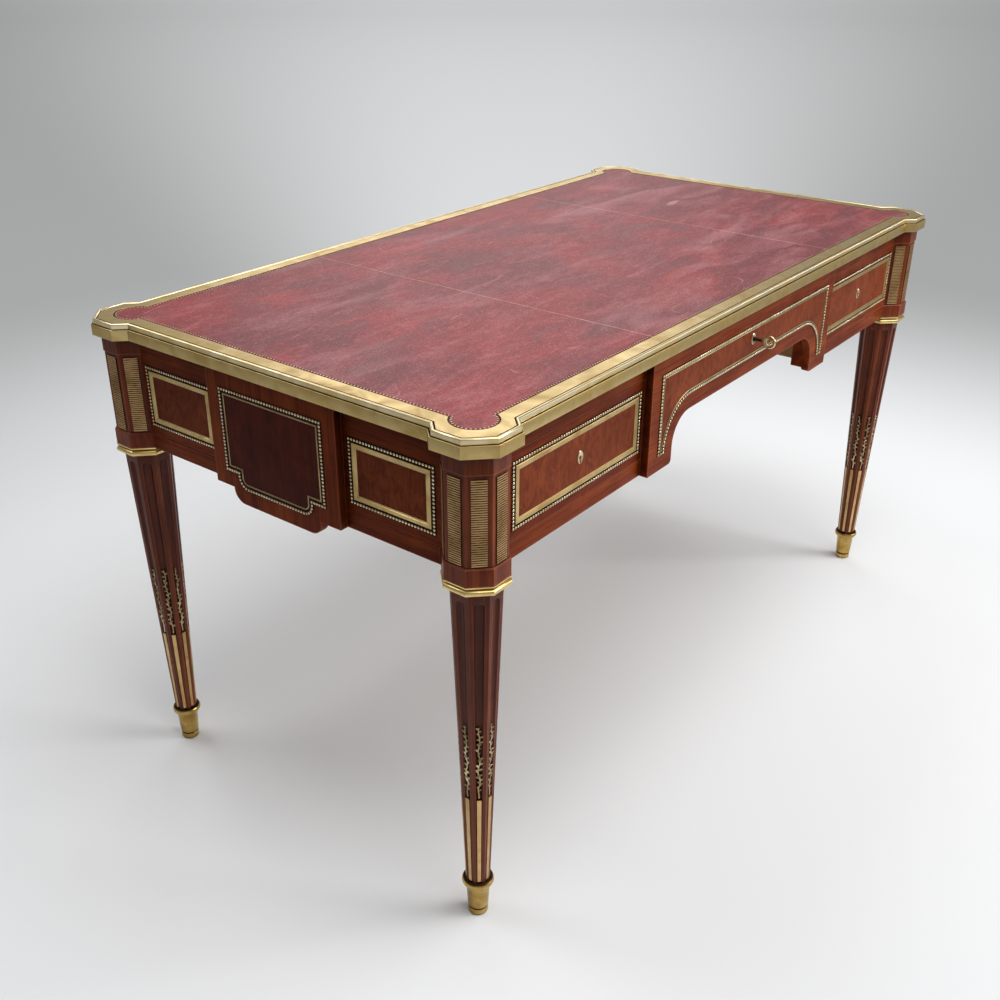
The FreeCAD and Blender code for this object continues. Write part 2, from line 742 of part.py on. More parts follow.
def build_sabot():
    """A turned brass sabot: toe, groove, tapered cup, and a round ring about the leg's end."""
    ring_foot = "socket_height - sabot_lip"
    lip = "socket_radius + sabot_lip"
    ring_top = f"{ring_foot} + sabot_ring_height"
    body = doc.addObject("PartDesign::Body", "sabot_master")
    profile = body_sketch(body, "XZ_Plane", [[
        ("0", "0"),
        ("toe_radius - toe_round", "0", "toe_round", 1),
        ("toe_radius", "toe_round"),
        ("toe_radius", "toe_height"),
        ("toe_radius - toe_groove", "toe_height + toe_groove"),
        ("cup_foot_radius", "cup_foot_height"),
        ("cup_top_radius", ring_foot),
        (lip, ring_foot, "sabot_ring_radius", 1),
        (lip, ring_top),
        ("socket_radius", ring_top),
        ("socket_radius", "socket_height"),
        ("0", "socket_height"),
    ]], "sabot_profile")
    turning = body.newObject("PartDesign::Revolution", "sabot_turning")
    turning.Profile = profile
    turning.ReferenceAxis = (profile, ["V_Axis"])
    turning.Angle = 360
    return body


def build_legs():
    """Four legs, each with its sabot, ring, five plaques, and strips and garlands in the flutes."""
    wood = build_leg_wood()
    ring = build_leg_ring()
    sabot = build_sabot()
    plaque = build_plaque()
    turns = [face * 360 / OCTAGON for face in range(OCTAGON)]
    strips = group("strip_set", [build_strip(turn) for turn in turns])
    garlands = group("garland_set", [build_garland(turn) for turn in turns])
    rings, plaques, strip_sets, garland_sets = [], [], [], []
    for name, (sign_x, sign_y) in CORNERS.items():
        spot = (f"{sign_x} * {LEG_X}", f"{sign_y} * {LEG_Y}")
        keep(copy_at(f"leg_{name}", wood, *spot))
        keep(copy_at(f"sabot_{name}", sabot, *spot))
        rings.append(copy_at(f"ring_{name}", ring, *spot))
        strip_sets.append(copy_at(f"strips_{name}", strips, *spot))
        garland_sets.append(copy_at(f"garlands_{name}", garlands, *spot))
        outward = math.degrees(math.atan2(sign_y, sign_x))
        for face in (-90, -45, 0, 45, 90):
            turn = outward + face
            reach = "head_width / 2"
            x = f"{spot[0]} + {reach} * cos({turn})"
            y = f"{spot[1]} + {reach} * sin({turn})"
            z = f"{DRAWER_SILL} + plaque_clearance"
            plaques.append(copy_at(f"plaque_{name}_{face + 90}", plaque, x, y, z, turn))
    keep(group("leg_rings", rings))
    keep(group("ribbed_plaques", plaques))
    keep(group("flute_strips", strip_sets))
    keep(group("flute_garlands", garland_sets))


# Frieze


def mortise(x, y):
    """Room for a lock bolt in the underside of the front upper rail."""
    half_width = "bolt_width / 2 + mortise_clearance"
    half_depth = "bolt_thickness / 2 + mortise_clearance"
    height = f"{DRAWER_HEAD} + bolt_throw + mortise_clearance"
    span = (f"{DRAWER_HEAD} - {OVERRUN}", height)
    return block("mortise", about(x, half_width), about(y, half_depth), span)


def build_carcass():
    """Rails, dividers, end boards, back boards, runners and kickers."""
    between_caps = (f"-{CAP_SIDE_X}", CAP_SIDE_X)
    lower = (FRIEZE_FOOT, DRAWER_SILL)
    upper = (DRAWER_HEAD, TOP_UNDER)
    front = (f"-{APRON_FACE}", f"-{APRON_BACK}")
    back = (APRON_BACK, APRON_FACE)
    rail = block("front_rail_blank", between_caps, front, upper)
    holes = [mortise(f"{sign} * {SIDE_KEY_X}", SIDE_BOLT_Y) for sign in SIDES.values()]
    keep(cut("front_upper_rail", rail, [*holes, mortise("0", CENTRE_BOLT_Y)]))
    keep(block("back_upper_rail", between_caps, back, upper))
    inner = (f"-{APRON_BACK}", APRON_BACK)
    end_board = mirror_loop([
        (CAP_SIDE_Y, TOP_UNDER), (CAP_SIDE_Y, DRAWER_HEAD), (HEAD_SIDE_Y, DRAWER_HEAD), (HEAD_SIDE_Y, DRAWER_SILL)])
    front_rails, back_rails, back_panels, end_rails, runners, kickers = [], [], [], [], [], []
    for side, sign in SIDES.items():
        rail_span = mirrored(sign, CENTRE_SIDE, COLLAR_SIDE_X)
        front_rails.append(block(f"front_lower_rail_{side}", rail_span, front, lower))
        back_rails.append(block(f"back_lower_rail_{side}", rail_span, back, lower))
        bay = mirrored(sign, CENTRE_SIDE, HEAD_SIDE_X)
        back_panels.append(block(f"back_side_panel_{side}", bay, back, (DRAWER_SILL, DRAWER_HEAD)))
        divider = mirrored(sign, DIVIDER_SIDE, CENTRE_SIDE)
        keep(block(f"divider_{side}", divider, (f"-{APRON_FACE}", APRON_FACE), (FRIEZE_FOOT, DRAWER_HEAD)))
        board = mirrored(sign, END_BACK, END_APRON)
        keep(plate(f"end_board_{side}", "YZ_Plane", [end_board], "rail_thickness", x=board[0]))
        between = (f"-{COLLAR_SIDE_Y}", COLLAR_SIDE_Y)
        end_rails.append(block(f"end_lower_rail_{side}", board, between, lower))
        base = mirrored(sign, END_APRON, END_FACE)[0]
        panel = dropped_outline(
            "end_panel_width / 2", BREAKFRONT_TOP, FRIEZE_FOOT,
            "end_drop_width / 2", f"({FRIEZE_FOOT} - end_panel_drop)", "end_drop_radius")
        keep(plate(f"end_panel_{side}", "YZ_Plane", [panel], "breakfront_depth", x=base))
        bearers = {
            "inner": (CENTRE_SIDE, f"{CENTRE_SIDE} + runner_width"),
            "outer": (f"{COLLAR_SIDE_X} - runner_width", COLLAR_SIDE_X),
            "centre": (f"{DIVIDER_SIDE} - runner_width", DIVIDER_SIDE),
        }
        for name, span in bearers.items():
            seat = CENTRE_FOOT if name == "centre" else FRONT_FOOT
            start = f"-{APRON_FACE} + centre_runner_setback" if name == "centre" else f"-{APRON_BACK}"
            across = mirrored(sign, *span)
            height = (f"{seat} - runner_height", seat)
            runners.append(block(f"runner_{name}_{side}", across, (start, APRON_BACK), height))
            top = (DRAWER_HEAD, f"{DRAWER_HEAD} + kicker_height")
            kickers.append(block(f"kicker_{name}_{side}", across, inner, top))
    keep(group("front_lower_rails", front_rails))
    keep(group("back_lower_rails", back_rails))
    keep(group("back_side_panels", back_panels))
    keep(group("end_lower_rails", end_rails))
    keep(group("drawer_runners", runners))
    keep(group("drawer_kickers", kickers))
    centre_span = (f"-{DIVIDER_SIDE}", DIVIDER_SIDE)
    keep(block("back_centre_board", centre_span, back, (CENTRE_FOOT, DRAWER_HEAD)))
    keep(plate("back_centre_panel", "XZ_Plane", [centre_outline("0", True)], "breakfront_depth", y=FRONT_FACE))


# Brass frames


def side_frame_loops(across):
    """Outlines of a bead row and of the band inside it, on a side drawer front or a plain panel."""
    loops = {}
    up = (f"{DRAWER_SILL} + frame_rise", f"{DRAWER_HEAD} - frame_rise")
    band = "bead_row_width + band_gap"
    insets = {"beads": ("0", "bead_row_width"), "band": (band, f"{band} + band_width")}
    for name, pair in insets.items():
        loops[name] = []
        for inset in pair:
            drawn_across = (f"({across[0]}) + {inset}", f"({across[1]}) - ({inset})")
            drawn_up = (f"{up[0]} + {inset}", f"{up[1]} - ({inset})")
            loops[name].append(rectangle(drawn_across, drawn_up))
    return loops


def ring_pair(outline, start, width):
    """Outer and inner outlines of a ring that begins at an inset and has a width."""
    return [outline(f"({start})"), outline(f"({start} + {width})")]


CENTRE_FILLET_INSET = "(pendant_width / 2 + fillet_margin)"


def centre_frame_loops():
    """Outlines of the bead row and of the thin fillet on a forward centre front."""
    return {
        "beads": ring_pair(centre_outline, "centre_frame_inset", "bead_row_width"),
        "fillet": ring_pair(centre_fillet_outline, CENTRE_FILLET_INSET, "fillet_width"),
    }


def end_frame_loops():
    """Outlines of the bead row and of the thin fillet on an end panel."""
    return {
        "beads": ring_pair(end_outline, "0", "bead_row_width"),
        "fillet": ring_pair(end_outline, "bead_row_width + end_fillet_gap", "fillet_width"),
    }


PROUD = {"beads": "bead_row_proud", "band": "band_proud", "fillet": "fillet_proud"}


def frame_pieces(label, role, loops, face, outward):
    """The rings of one frame, laid on a face and standing proud of it along the outward sign."""
    pieces = []
    for name, pair in loops.items():
        proud = PROUD[name]
        forward = -1 if role == "XZ_Plane" else 1
        base = face if outward == forward else f"{face} + {outward} * {proud}"
        axis = "y" if role == "XZ_Plane" else "x"
        pieces.append(plate(f"{label}_{name}", role, pair, proud, **{axis: base}))
    return pieces


def build_fixed_frames():
    """Frames on both ends and on the sham fronts of the back."""
    end_pieces, back_pieces = [], []
    bay_y = ("end_panel_width / 2 + frame_inset", f"{HEAD_SIDE_Y} - frame_inset")
    for side, sign in SIDES.items():
        panel_loops = end_frame_loops()
        end_pieces += frame_pieces(f"end_centre_{side}", "YZ_Plane", panel_loops, f"{sign} * {END_FACE}", sign)
        for half, half_sign in (("front", -1), ("back", 1)):
            loops = side_frame_loops(mirrored(half_sign, *bay_y))
            label = f"end_{half}_{side}"
            end_pieces += frame_pieces(label, "YZ_Plane", loops, f"{sign} * {END_APRON}", sign)
        back_loops = side_frame_loops(mirrored(sign, *SIDE_FRAME_X))
        back_pieces += frame_pieces(f"back_{side}", "XZ_Plane", back_loops, APRON_FACE, 1)
    centre_loops = centre_frame_loops()
    back_pieces += frame_pieces("back_centre", "XZ_Plane", centre_loops, FRONT_FACE, 1)
    keep(group("end_frames", end_pieces))
    keep(group("back_frames", back_pieces))


# Drawers, locks and key

SIDE_FRONT_X = (f"{CENTRE_SIDE} + drawer_gap", f"{HEAD_SIDE_X} - drawer_gap")
SIDE_FRAME_X = (f"{CENTRE_SIDE} + frame_inset", f"{HEAD_SIDE_X} - frame_inset")
SIDE_KEY_X = f"(({CENTRE_SIDE} + {HEAD_SIDE_X}) / 2)"
SIDE_KEY_Z = f"({DRAWER_HEAD} - side_key_drop)"
CENTRE_PLATE_TOP = f"({BREAKFRONT_TOP} - {CENTRE_FILLET_INSET} - fillet_width - escutcheon_gap)"
CENTRE_KEY_Z = f"({CENTRE_PLATE_TOP} - escutcheon_height / 2)"
SIDE_BOLT_Y = f"(-{APRON_BACK} - lock_depth / 2)"
CENTRE_BOLT_Y = f"(-{CENTRE_BACKING} - lock_depth / 2)"
BIT_ROOM = "(bit_reach + bit_clearance)"


def keyhole(label, x, y, z):
    """A round hole with a slot below it, between two y expressions."""
    hole = rod(f"{label}_round", "shank_radius + shank_clearance", x, y, z)
    slot_half = "bit_thickness / 2 + shank_clearance"
    slot = block(f"{label}_slot", about(x, slot_half), y, (f"{z} - {BIT_ROOM}", z))
    return union(label, [hole, slot])


def lock_pocket(label, x, key_z, back_y):
    """The space that a lock case fills, let into the back of a drawer front."""
    across = about(x, "lock_width / 2")
    return block(label, across, (f"{back_y} - lock_depth", back_y), (f"{key_z} - lock_tail", FRONT_HEAD))


def build_lock(name, x, key_z, back_y):
    """A lock case with room for the key's bit, and the bolt that it throws upwards."""
    middle = f"({back_y} - lock_depth / 2)"
    channel_half = "bolt_width / 2 + bolt_clearance"
    depth_half = "bolt_thickness / 2 + bolt_clearance"
    heel = f"{key_z} + {BIT_ROOM} + bolt_clearance"
    channel = block(
        f"{name}_channel", about(x, channel_half), about(middle, depth_half), (key_z, f"{FRONT_HEAD} + {OVERRUN}"))
    room_y = (f"{back_y} - lock_depth - {OVERRUN}", f"{middle} + {depth_half}")
    bit_room = rod(f"{name}_bit_room", BIT_ROOM, x, room_y, key_z)
    keep(cut(f"{name}_lock_case", lock_pocket(f"{name}_case_blank", x, key_z, back_y), [channel, bit_room]))
    half_width = "bolt_width / 2"
    half_depth = "bolt_thickness / 2"
    keep(block(f"{name}_lock_bolt", about(x, half_width), about(middle, half_depth), (heel, FRONT_HEAD)))


def build_escutcheon(name, x, key_z, face_y):
    """An oval brass plate round a keyhole, on a front's face."""
    oval = doc.addObject("Part::Ellipse", f"{name}_oval")
    bind(oval, MajorRadius="escutcheon_height / 2", MinorRadius="escutcheon_width / 2")
    disc = doc.addObject("Part::Extrusion", f"{name}_disc")
    disc.Base = oval
    disc.DirMode = "Custom"
    disc.Dir = FreeCAD.Vector(0, 0, 1)
    disc.Solid = True
    bind(disc, LengthFwd="escutcheon_thickness")
    upright = group(f"{name}_plate", [disc])
    tipped = FreeCAD.Rotation(FreeCAD.Vector(1, 0, 0), 90)
    upright.Placement.Rotation = tipped.multiply(FreeCAD.Rotation(FreeCAD.Vector(0, 0, 1), 90))
    place(upright, x, face_y, key_z)
    depth = (f"{face_y} - escutcheon_thickness - {OVERRUN}", f"{face_y} + {OVERRUN}")
    hole = keyhole(f"{name}_plate_hole", x, depth, key_z)
    keep(cut(f"{name}_escutcheon", upright, [hole]))


def build_drawer_box(name, across, front_y, foot, back_height):
    """Sides and back of a drawer, and the bottom that lies between them."""
    low, high = across
    inside = (f"({low}) + drawer_side_thickness", f"({high}) - drawer_side_thickness")
    sides_z = (foot, f"{DRAWER_HEAD} - drawer_top_gap")
    bottom_z = (f"{foot} + drawer_bottom_rise", f"{foot} + drawer_bottom_rise + drawer_bottom_thickness")
    length = (front_y, DRAWER_END)
    back_y = (f"{DRAWER_END} - drawer_side_thickness", DRAWER_END)
    walls = [
        block(f"{name}_side_low", (low, inside[0]), length, sides_z),
        block(f"{name}_side_high", (inside[1], high), length, sides_z),
        block(f"{name}_back", inside, back_y, (bottom_z[1], f"{bottom_z[1]} + {back_height}")),
    ]
    keep(group(f"{name}_walls", walls))
    keep(block(f"{name}_bottom", inside, length, bottom_z))


def build_side_drawer(side, sign):
    """A side drawer: flush front with a beaded brass frame, box, lock and escutcheon."""
    name = f"{side}_drawer"
    key_x = f"({sign} * {SIDE_KEY_X})"
    span = mirrored(sign, *SIDE_FRONT_X)
    face = f"-{APRON_FACE}"
    back = f"-{APRON_BACK}"
    outline = [rectangle(span, (FRONT_FOOT, FRONT_HEAD))]
    blank = plate(f"{name}_front_blank", "XZ_Plane", outline, "rail_thickness", y=back)
    depth = (f"{face} - {OVERRUN}", f"{back} - lock_depth + {OVERRUN}")
    hole = keyhole(f"{name}_front_hole", key_x, depth, SIDE_KEY_Z)
    keep(cut(f"{name}_front", blank, [lock_pocket(f"{name}_pocket", key_x, SIDE_KEY_Z, back), hole]))
    keep(group(f"{name}_frame", frame_pieces(
        f"{name}_ring", "XZ_Plane", side_frame_loops(mirrored(sign, *SIDE_FRAME_X)), face, -1)))
    build_escutcheon(name, key_x, SIDE_KEY_Z, face)
    build_lock(name, key_x, SIDE_KEY_Z, back)
    box = (f"({span[0]}) + drawer_side_inset", f"({span[1]}) - drawer_side_inset")
    build_drawer_box(name, box, back, FRONT_FOOT, "drawer_back_height")


def build_centre_drawer():
    """The centre drawer: forward front with arch and pendants, box, lock and escutcheon."""
    name = "centre_drawer"
    face = f"-{FRONT_FACE}"
    back = f"(-{CENTRE_BACKING})"
    body = doc.addObject("PartDesign::Body", f"{name}_front_blank")
    pad(body, "XZ_Plane", [centre_outline("0", True)], "breakfront_depth")
    half = f"({DIVIDER_SIDE} - drawer_gap - drawer_side_inset)"
    backing = rectangle((f"-{half}", half), (CENTRE_FOOT, FRONT_HEAD))
    pad(body, "XZ_Plane", [backing], "centre_front_backing", backwards=True)
    block_up = (f"{FRIEZE_FOOT} + pendant_round", f"{FRIEZE_FOOT} + pendant_block_height")
    blocks = []
    for sign in SIDES.values():
        blocks.append(rectangle(mirrored(sign, ARCH_SIDE, f"{DIVIDER_SIDE} - drawer_gap"), block_up))
    pad(body, "XZ_Plane", blocks, "pendant_block_depth", backwards=True)
    place(body, y=f"-{APRON_FACE}")
    depth = (f"{face} - {OVERRUN}", f"{back} - lock_depth + {OVERRUN}")
    hole = keyhole(f"{name}_front_hole", "0", depth, CENTRE_KEY_Z)
    keep(cut(f"{name}_front", body, [lock_pocket(f"{name}_pocket", "0", CENTRE_KEY_Z, back), hole]))
    loops = centre_frame_loops()
    keep(group(f"{name}_frame", frame_pieces(f"{name}_ring", "XZ_Plane", loops, face, -1)))
    build_escutcheon(name, "0", CENTRE_KEY_Z, face)
    build_lock(name, "0", CENTRE_KEY_Z, back)
    build_drawer_box(name, (f"-{half}", half), back, CENTRE_FOOT, "centre_back_height")
    build_key(face, back)


def build_key(face, back):
    """The key in the centre lock: ring bow, neck, shank, collar and bit."""
    bow_y = f"({face} - key_projection + bow_radius + bow_wire_radius)"
    bow = doc.addObject("Part::Torus", "key_bow")
    bind(bow, Radius1="bow_radius", Radius2="bow_wire_radius")
    turned(bow, (0, 1, 0), 90)
    place(bow, "0", bow_y, CENTRE_KEY_Z)
    tip = f"{back} - lock_depth / 2"
    shank = rod("key_shank", "shank_radius", "0", (f"{bow_y} + bow_radius", tip), CENTRE_KEY_Z)
    plate_front = f"({face} - escutcheon_thickness - drawer_gap)"
    collar_y = (f"{plate_front} - key_collar_length", plate_front)
    collar = rod("key_collar", "key_collar_radius", "0", collar_y, CENTRE_KEY_Z)
    neck_y = (f"{bow_y} + bow_radius", f"{bow_y} + bow_radius + bow_wire_radius + key_neck_length")
    neck = rod("key_neck", "key_neck_radius", "0", neck_y, CENTRE_KEY_Z)
    bit_y = (f"{tip} - bit_width", tip)
    bit_z = (f"{CENTRE_KEY_Z} - bit_reach", CENTRE_KEY_Z)
    bit = block("key_bit", about("0", "bit_thickness / 2"), bit_y, bit_z)
    keep(union("key", [bow, neck, shank, collar, bit]))


def check():
    """Stops if any object failed or any sub-part isn't a sound solid."""
    for item in doc.Objects:
        if "Invalid" in item.State or "Error" in item.State:
            raise RuntimeError(f"{item.Label} failed: {item.State}")
    for label, item in nodes.items():
        if item.Shape.isNull() or not item.Shape.isValid() or not item.Shape.Solids:
            raise RuntimeError(f"{label} has no sound solid")


def export():
    """Writes every sub-part to its own file."""
    os.makedirs("parts", exist_ok=True)
    for label, item in nodes.items():
        item.Shape.exportStep(f"parts/{label}.step")
        print(label, len(item.Shape.Solids), round(item.Shape.Volume / 1000, 1), "cm3")


build_top()
build_legs()
build_carcass()
build_fixed_frames()
for side_name, side_sign in SIDES.items():
    build_side_drawer(side_name, side_sign)
build_centre_drawer()
doc.recompute()
check()
export()
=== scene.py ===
"""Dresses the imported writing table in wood, brass and leather, and stands it in a plain studio.

Lengths are millimetres in the frame of the CAD model: the floor is at 0 and the drawers face -Y. They turn
into metres where a mesh, a node or a lamp is made.
"""

import logging
import math
import random
from collections.abc import Callable
from dataclasses import dataclass, field
from enum import Enum
from functools import partial

import bmesh
import bpy
from bpy.types import ID, Material, Node, NodeSocket, NodeTree, Object
from mathutils import Matrix, Vector
from mathutils.geometry import delaunay_2d_cdt


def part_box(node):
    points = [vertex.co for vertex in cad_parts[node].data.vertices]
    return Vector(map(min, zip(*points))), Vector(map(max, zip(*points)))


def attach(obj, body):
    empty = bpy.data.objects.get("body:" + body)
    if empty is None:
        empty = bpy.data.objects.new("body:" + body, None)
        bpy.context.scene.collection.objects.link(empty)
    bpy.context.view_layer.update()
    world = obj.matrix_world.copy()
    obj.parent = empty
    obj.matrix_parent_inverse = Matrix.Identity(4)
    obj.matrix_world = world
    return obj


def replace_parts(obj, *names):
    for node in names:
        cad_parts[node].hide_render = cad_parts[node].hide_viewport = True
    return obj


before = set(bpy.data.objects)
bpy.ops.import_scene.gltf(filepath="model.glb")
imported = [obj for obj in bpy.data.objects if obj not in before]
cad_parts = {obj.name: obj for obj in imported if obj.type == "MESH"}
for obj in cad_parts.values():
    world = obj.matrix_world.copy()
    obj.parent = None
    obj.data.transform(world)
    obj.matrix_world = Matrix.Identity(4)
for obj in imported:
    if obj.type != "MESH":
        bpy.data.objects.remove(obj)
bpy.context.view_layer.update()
LOG = logging.getLogger("writing_table")
MM = 0.001
SEED = 7
CORNERS = ("front_left", "front_right", "back_left", "back_right")
DRAWERS = ("left_drawer", "right_drawer", "centre_drawer")
# Levels between which most of a noise pattern lies
NOISE_LOW, NOISE_HIGH = 0.3, 0.7

Point = tuple[float, float]
Point3 = tuple[float, float, float]
Loop = list[Point]
Ring = list[Point3]
Section = tuple[Point, ...]
Colour = tuple[float, float, float, float]
Sockets = dict[str | int, object]
# A coat's colour, the pattern that spreads it, the levels where it starts and is full, and its strength
Coat = tuple[str, NodeSocket, float, float, float]


class Side(Enum):
    """A side of the table, with the directions across it, up it and out of it."""

    FRONT = ((1, 0, 0), (0, 0, 1), (0, -1, 0))
    BACK = ((1, 0, 0), (0, 0, 1), (0, 1, 0))
    LEFT = ((0, 1, 0), (0, 0, 1), (-1, 0, 0))
    RIGHT = ((0, 1, 0), (0, 0, 1), (1, 0, 0))
    TOP = ((1, 0, 0), (0, 1, 0), (0, 0, 1))

    def face(self, distance: float) -> Matrix:
        """From the axes (across, up, out) of a face at a distance from the origin to the frame."""
        return Matrix(self.value).transposed().to_4x4() @ Matrix.Translation((0, 0, distance))


class Grain(Enum):
    """The way the grain of a piece of wood runs."""

    LENGTHWISE = 0
    CROSSWISE = 1
    UPRIGHT = 2


def box(node: str) -> tuple[Vector, Vector]:
    """Lowest and highest corner of a CAD node."""
    low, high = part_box(node)
    return low / MM, high / MM


def of_drawers(part: str) -> list[str]:
    """Names of one part of all three drawers."""
    return [f"{drawer}_{part}" for drawer in DRAWERS]


def leg_centres() -> list[Vector]:
    """The middle of each leg on the floor."""
    middles = [sum(box(f"leg_{corner}"), Vector()) / 2 for corner in CORNERS]
    return [Vector((middle.x, middle.y, 0)) for middle in middles]


def put(name: str, data: ID) -> Object:
    """Puts a new object into the scene.

    Args:
        name: Its name.
        data: Its mesh, lamp or camera.

    Returns:
        The object.
    """
    thing = bpy.data.objects.new(name, data)
    bpy.context.scene.collection.objects.link(thing)
    return thing


def linear(colour: str) -> Colour:
    """Turns an sRGB hex colour into the linear values that shaders take.

    Args:
        colour: Six hex digits after a hash.

    Returns:
        Linear red, green, blue and an alpha of one.
    """
    parts = [int(colour[i:i + 2], 16) / 255 for i in (1, 3, 5)]
    red, green, blue = [c / 12.92 if c <= 0.04045 else ((c + 0.055) / 1.055) ** 2.4 for c in parts]
    return red, green, blue, 1.0


# Finishes


@dataclass(frozen=True)
class Nodes:
    """A material's nodes while its surface is set up."""

    tree: NodeTree

    def join(self, node: Node, links: Sockets) -> None:
        """Sets or links the inputs of a node.

        Args:
            node: The node.
            links: Values, or output sockets to link, by the name or number of the input.
        """
        for name, source in links.items():
            if isinstance(source, NodeSocket):
                self.tree.links.new(source, node.inputs[name])
            else:
                node.inputs[name].default_value = source

    def add(self, kind: str, links: Sockets, output: int | str = 0, **settings: object) -> NodeSocket:
        """Adds one shader node with its settings and links.

        Args:
            kind: Node type without its leading ShaderNode.
            links: Values or output sockets for its inputs.
            output: Which of its outputs is wanted.
            settings: Properties of the node.

        Returns:
            That output.
        """
        node = self.tree.nodes.new("ShaderNode" + kind)
        for name, setting in settings.items():
            setattr(node, name, setting)
        self.join(node, links)
        return node.outputs[output]

    def pattern(self, sizes: Point3, **links: float) -> NodeSocket:
        """A noise pattern whose features have real sizes along the three axes.

        Args:
            sizes: Feature size along X, Y and Z.
            links: Values of the noise's inputs, such as Detail.

        Returns:
            The pattern, from 0 to 1.
        """
        spot = self.add("TexCoord", {}, "Object")
        scale = [1 / (size * MM) for size in sizes]
        stretched = self.add("Mapping", {"Vector": spot, "Scale": scale})
        return self.add("TexNoise", {"Vector": stretched, "Scale": 1.0, **links})

    def coated(self, colour: NodeSocket | str, coats: list[Coat]) -> NodeSocket:
        """Lays coats over a colour, each where its pattern runs from one level to another.

        Args:
            colour: The colour below them.
            coats: The coats, the lowest first.

        Returns:
            The colour with all its coats.
        """
        below = linear(colour) if isinstance(colour, str) else colour
        for shade, pattern, start, full, strength in coats:
            share = self.add("MapRange", {0: pattern, 1: start, 2: full, 4: strength})
            below = self.add("Mix", {0: share, 6: below, 7: linear(shade)}, 2, data_type="RGBA")
        return below

    def surface(
        self, colour: NodeSocket, cloud: NodeSocket, dull: Point, relief: NodeSocket, strength: float,
        depth: float, others: Sockets, sunk: bool = False,
    ) -> None:
        """Gives the Principled shader a colour, a clouded gloss and small dents.

        Args:
            colour: The colour.
            cloud: Pattern of the gloss.
            dull: Roughness in the low and in the high places of that pattern.
            relief: Pattern of the dents.
            strength: How strongly the dents show.
            depth: Their depth.
            others: Values of other inputs.
            sunk: Whether the high places of the dents' pattern lie deep.
        """
        rough = self.add("MapRange", {0: cloud, 1: NOISE_LOW, 2: NOISE_HIGH, 3: dull[0], 4: dull[1]})
        dents = {"Strength": strength, "Distance": depth * MM, "Height": relief}
        normal = self.add("Bump", dents, invert=sunk)
        links = {"Base Color": colour, "Roughness": rough, "Normal": normal, **others}
        self.join(self.tree.nodes["Principled BSDF"], links)


@dataclass(frozen=True)
class Finish:
    """A surface, named for its material and for the way it was made."""

    name: str

    def make(self) -> Material:
        """Makes the material at its first use and hands out the same one later.

        Returns:
            The material.
        """
        material = bpy.data.materials.get(self.name)
        if not material:
            material = bpy.data.materials.new(self.name)
            material.use_nodes = True
            self.paint(Nodes(material.node_tree))
        return material

    def paint(self, nodes: Nodes) -> None:
        """Sets the material's nodes up. Each kind of finish has its own way."""
        raise NotImplementedError


@dataclass(frozen=True)
class PolishedWood(Finish):
    """Polished wood: ribbon figure, darker streaks, open pores, and a soft gloss that age has dulled."""

    grain: Grain
    dark: str
    middle: str
    light: str
    ribbon: float = 15
    wander: float = 0.5
    roughness: float = 0.32
    gloss: float = 0.05
    streaks: float = 0.42
    pores: float = 0.45
    stretch: float = 24
    stain: str = ""
    stain_top: float = 556
    stain_fade: float = 8
    shade_from: float = 0.35
    shade_to: float = 0.93
    shade_reach: float = 36
    # Pale edges: partly wear, partly a painted highlight along the arrises
    edge_wear_and_highlight: float = 0.0
    edge_reach: float = 2.6
    rubbed: str = "#b8694a"

    def sizes(self, along: float, across: float) -> Point3:
        """Feature sizes along X, Y and Z for a pattern that follows the grain."""
        return tuple(along if axis is self.grain else across for axis in Grain)

    def paint(self, nodes: Nodes) -> None:
        """Lays ribbon, streaks and pores over each other, paints shade into corners, flutes and under
        overhangs, rubs edges pale with a painted highlight, and polishes it all.

        Args:
            nodes: The material's nodes.
        """
        length = self.stretch * self.ribbon
        ribbon = nodes.pattern(self.sizes(length, self.ribbon), Detail=3.0, Distortion=self.wander)
        streak = nodes.pattern(self.sizes(90, 3.2), Detail=4.0, Distortion=0.3)
        # Mahogany's pores are about 0.2 mm wide, and are drawn five times as wide so that they show
        pore = nodes.pattern(self.sizes(20, 1.0), Detail=2.0)
        cloud = nodes.pattern((70, 70, 70), Detail=2.0)
        figure = nodes.add("Mix", {0: self.streaks, 2: ribbon, 3: streak})
        deep = nodes.add("MapRange", {0: figure, 1: 0.22, 2: 0.5, 3: 0.35})
        open_pore = nodes.add("MapRange", {0: pore, 1: 0.54, 2: 0.68, 4: self.pores})
        coats = [
            (self.middle, deep, 0, 1, 1),
            (self.light, figure, 0.44, 0.8, 1),
            (self.dark, open_pore, 0, 1, 1),
            (self.dark, cloud, 0.35, 0.65, 0.35),
        ]
        if self.stain:
            height = nodes.add("SeparateXYZ", {0: nodes.add("TexCoord", {}, "Object")}, 2)
            full = self.stain_top - self.stain_fade
            coats.append((self.stain, height, self.stain_top * MM, full * MM, 0.34))
        colour = nodes.coated(self.dark, coats)
        # Painted shade: the colour darkens where other surfaces are near, in corners, in the flutes and under
        # the top's overhang
        corner = nodes.add("AmbientOcclusion", {"Distance": self.shade_reach * MM}, "AO", samples=6)
        grime_and_shade = nodes.add("MapRange", {0: corner, 1: self.shade_from, 2: self.shade_to, 3: 0.1})
        layers = {0: 1.0, 6: colour, 7: grime_and_shade}
        colour = nodes.add("Mix", layers, 2, data_type="RGBA", blend_type="MULTIPLY")
        # Edges rubbed pale: partly real wear, partly a painted highlight along the arrises
        if self.edge_wear_and_highlight:
            near = {"Distance": self.edge_reach * MM}
            edge = nodes.add("AmbientOcclusion", near, "AO", samples=6, inside=True, only_local=True)
            colour = nodes.coated(colour, [(self.rubbed, edge, 0.9, 0.55, self.edge_wear_and_highlight)])
        dull = (self.roughness - 0.05, self.roughness + 0.09)
        gloss = {"Specular IOR Level": self.gloss}
        nodes.surface(colour, cloud, dull, open_pore, 0.25, 0.15, gloss, sunk=True)


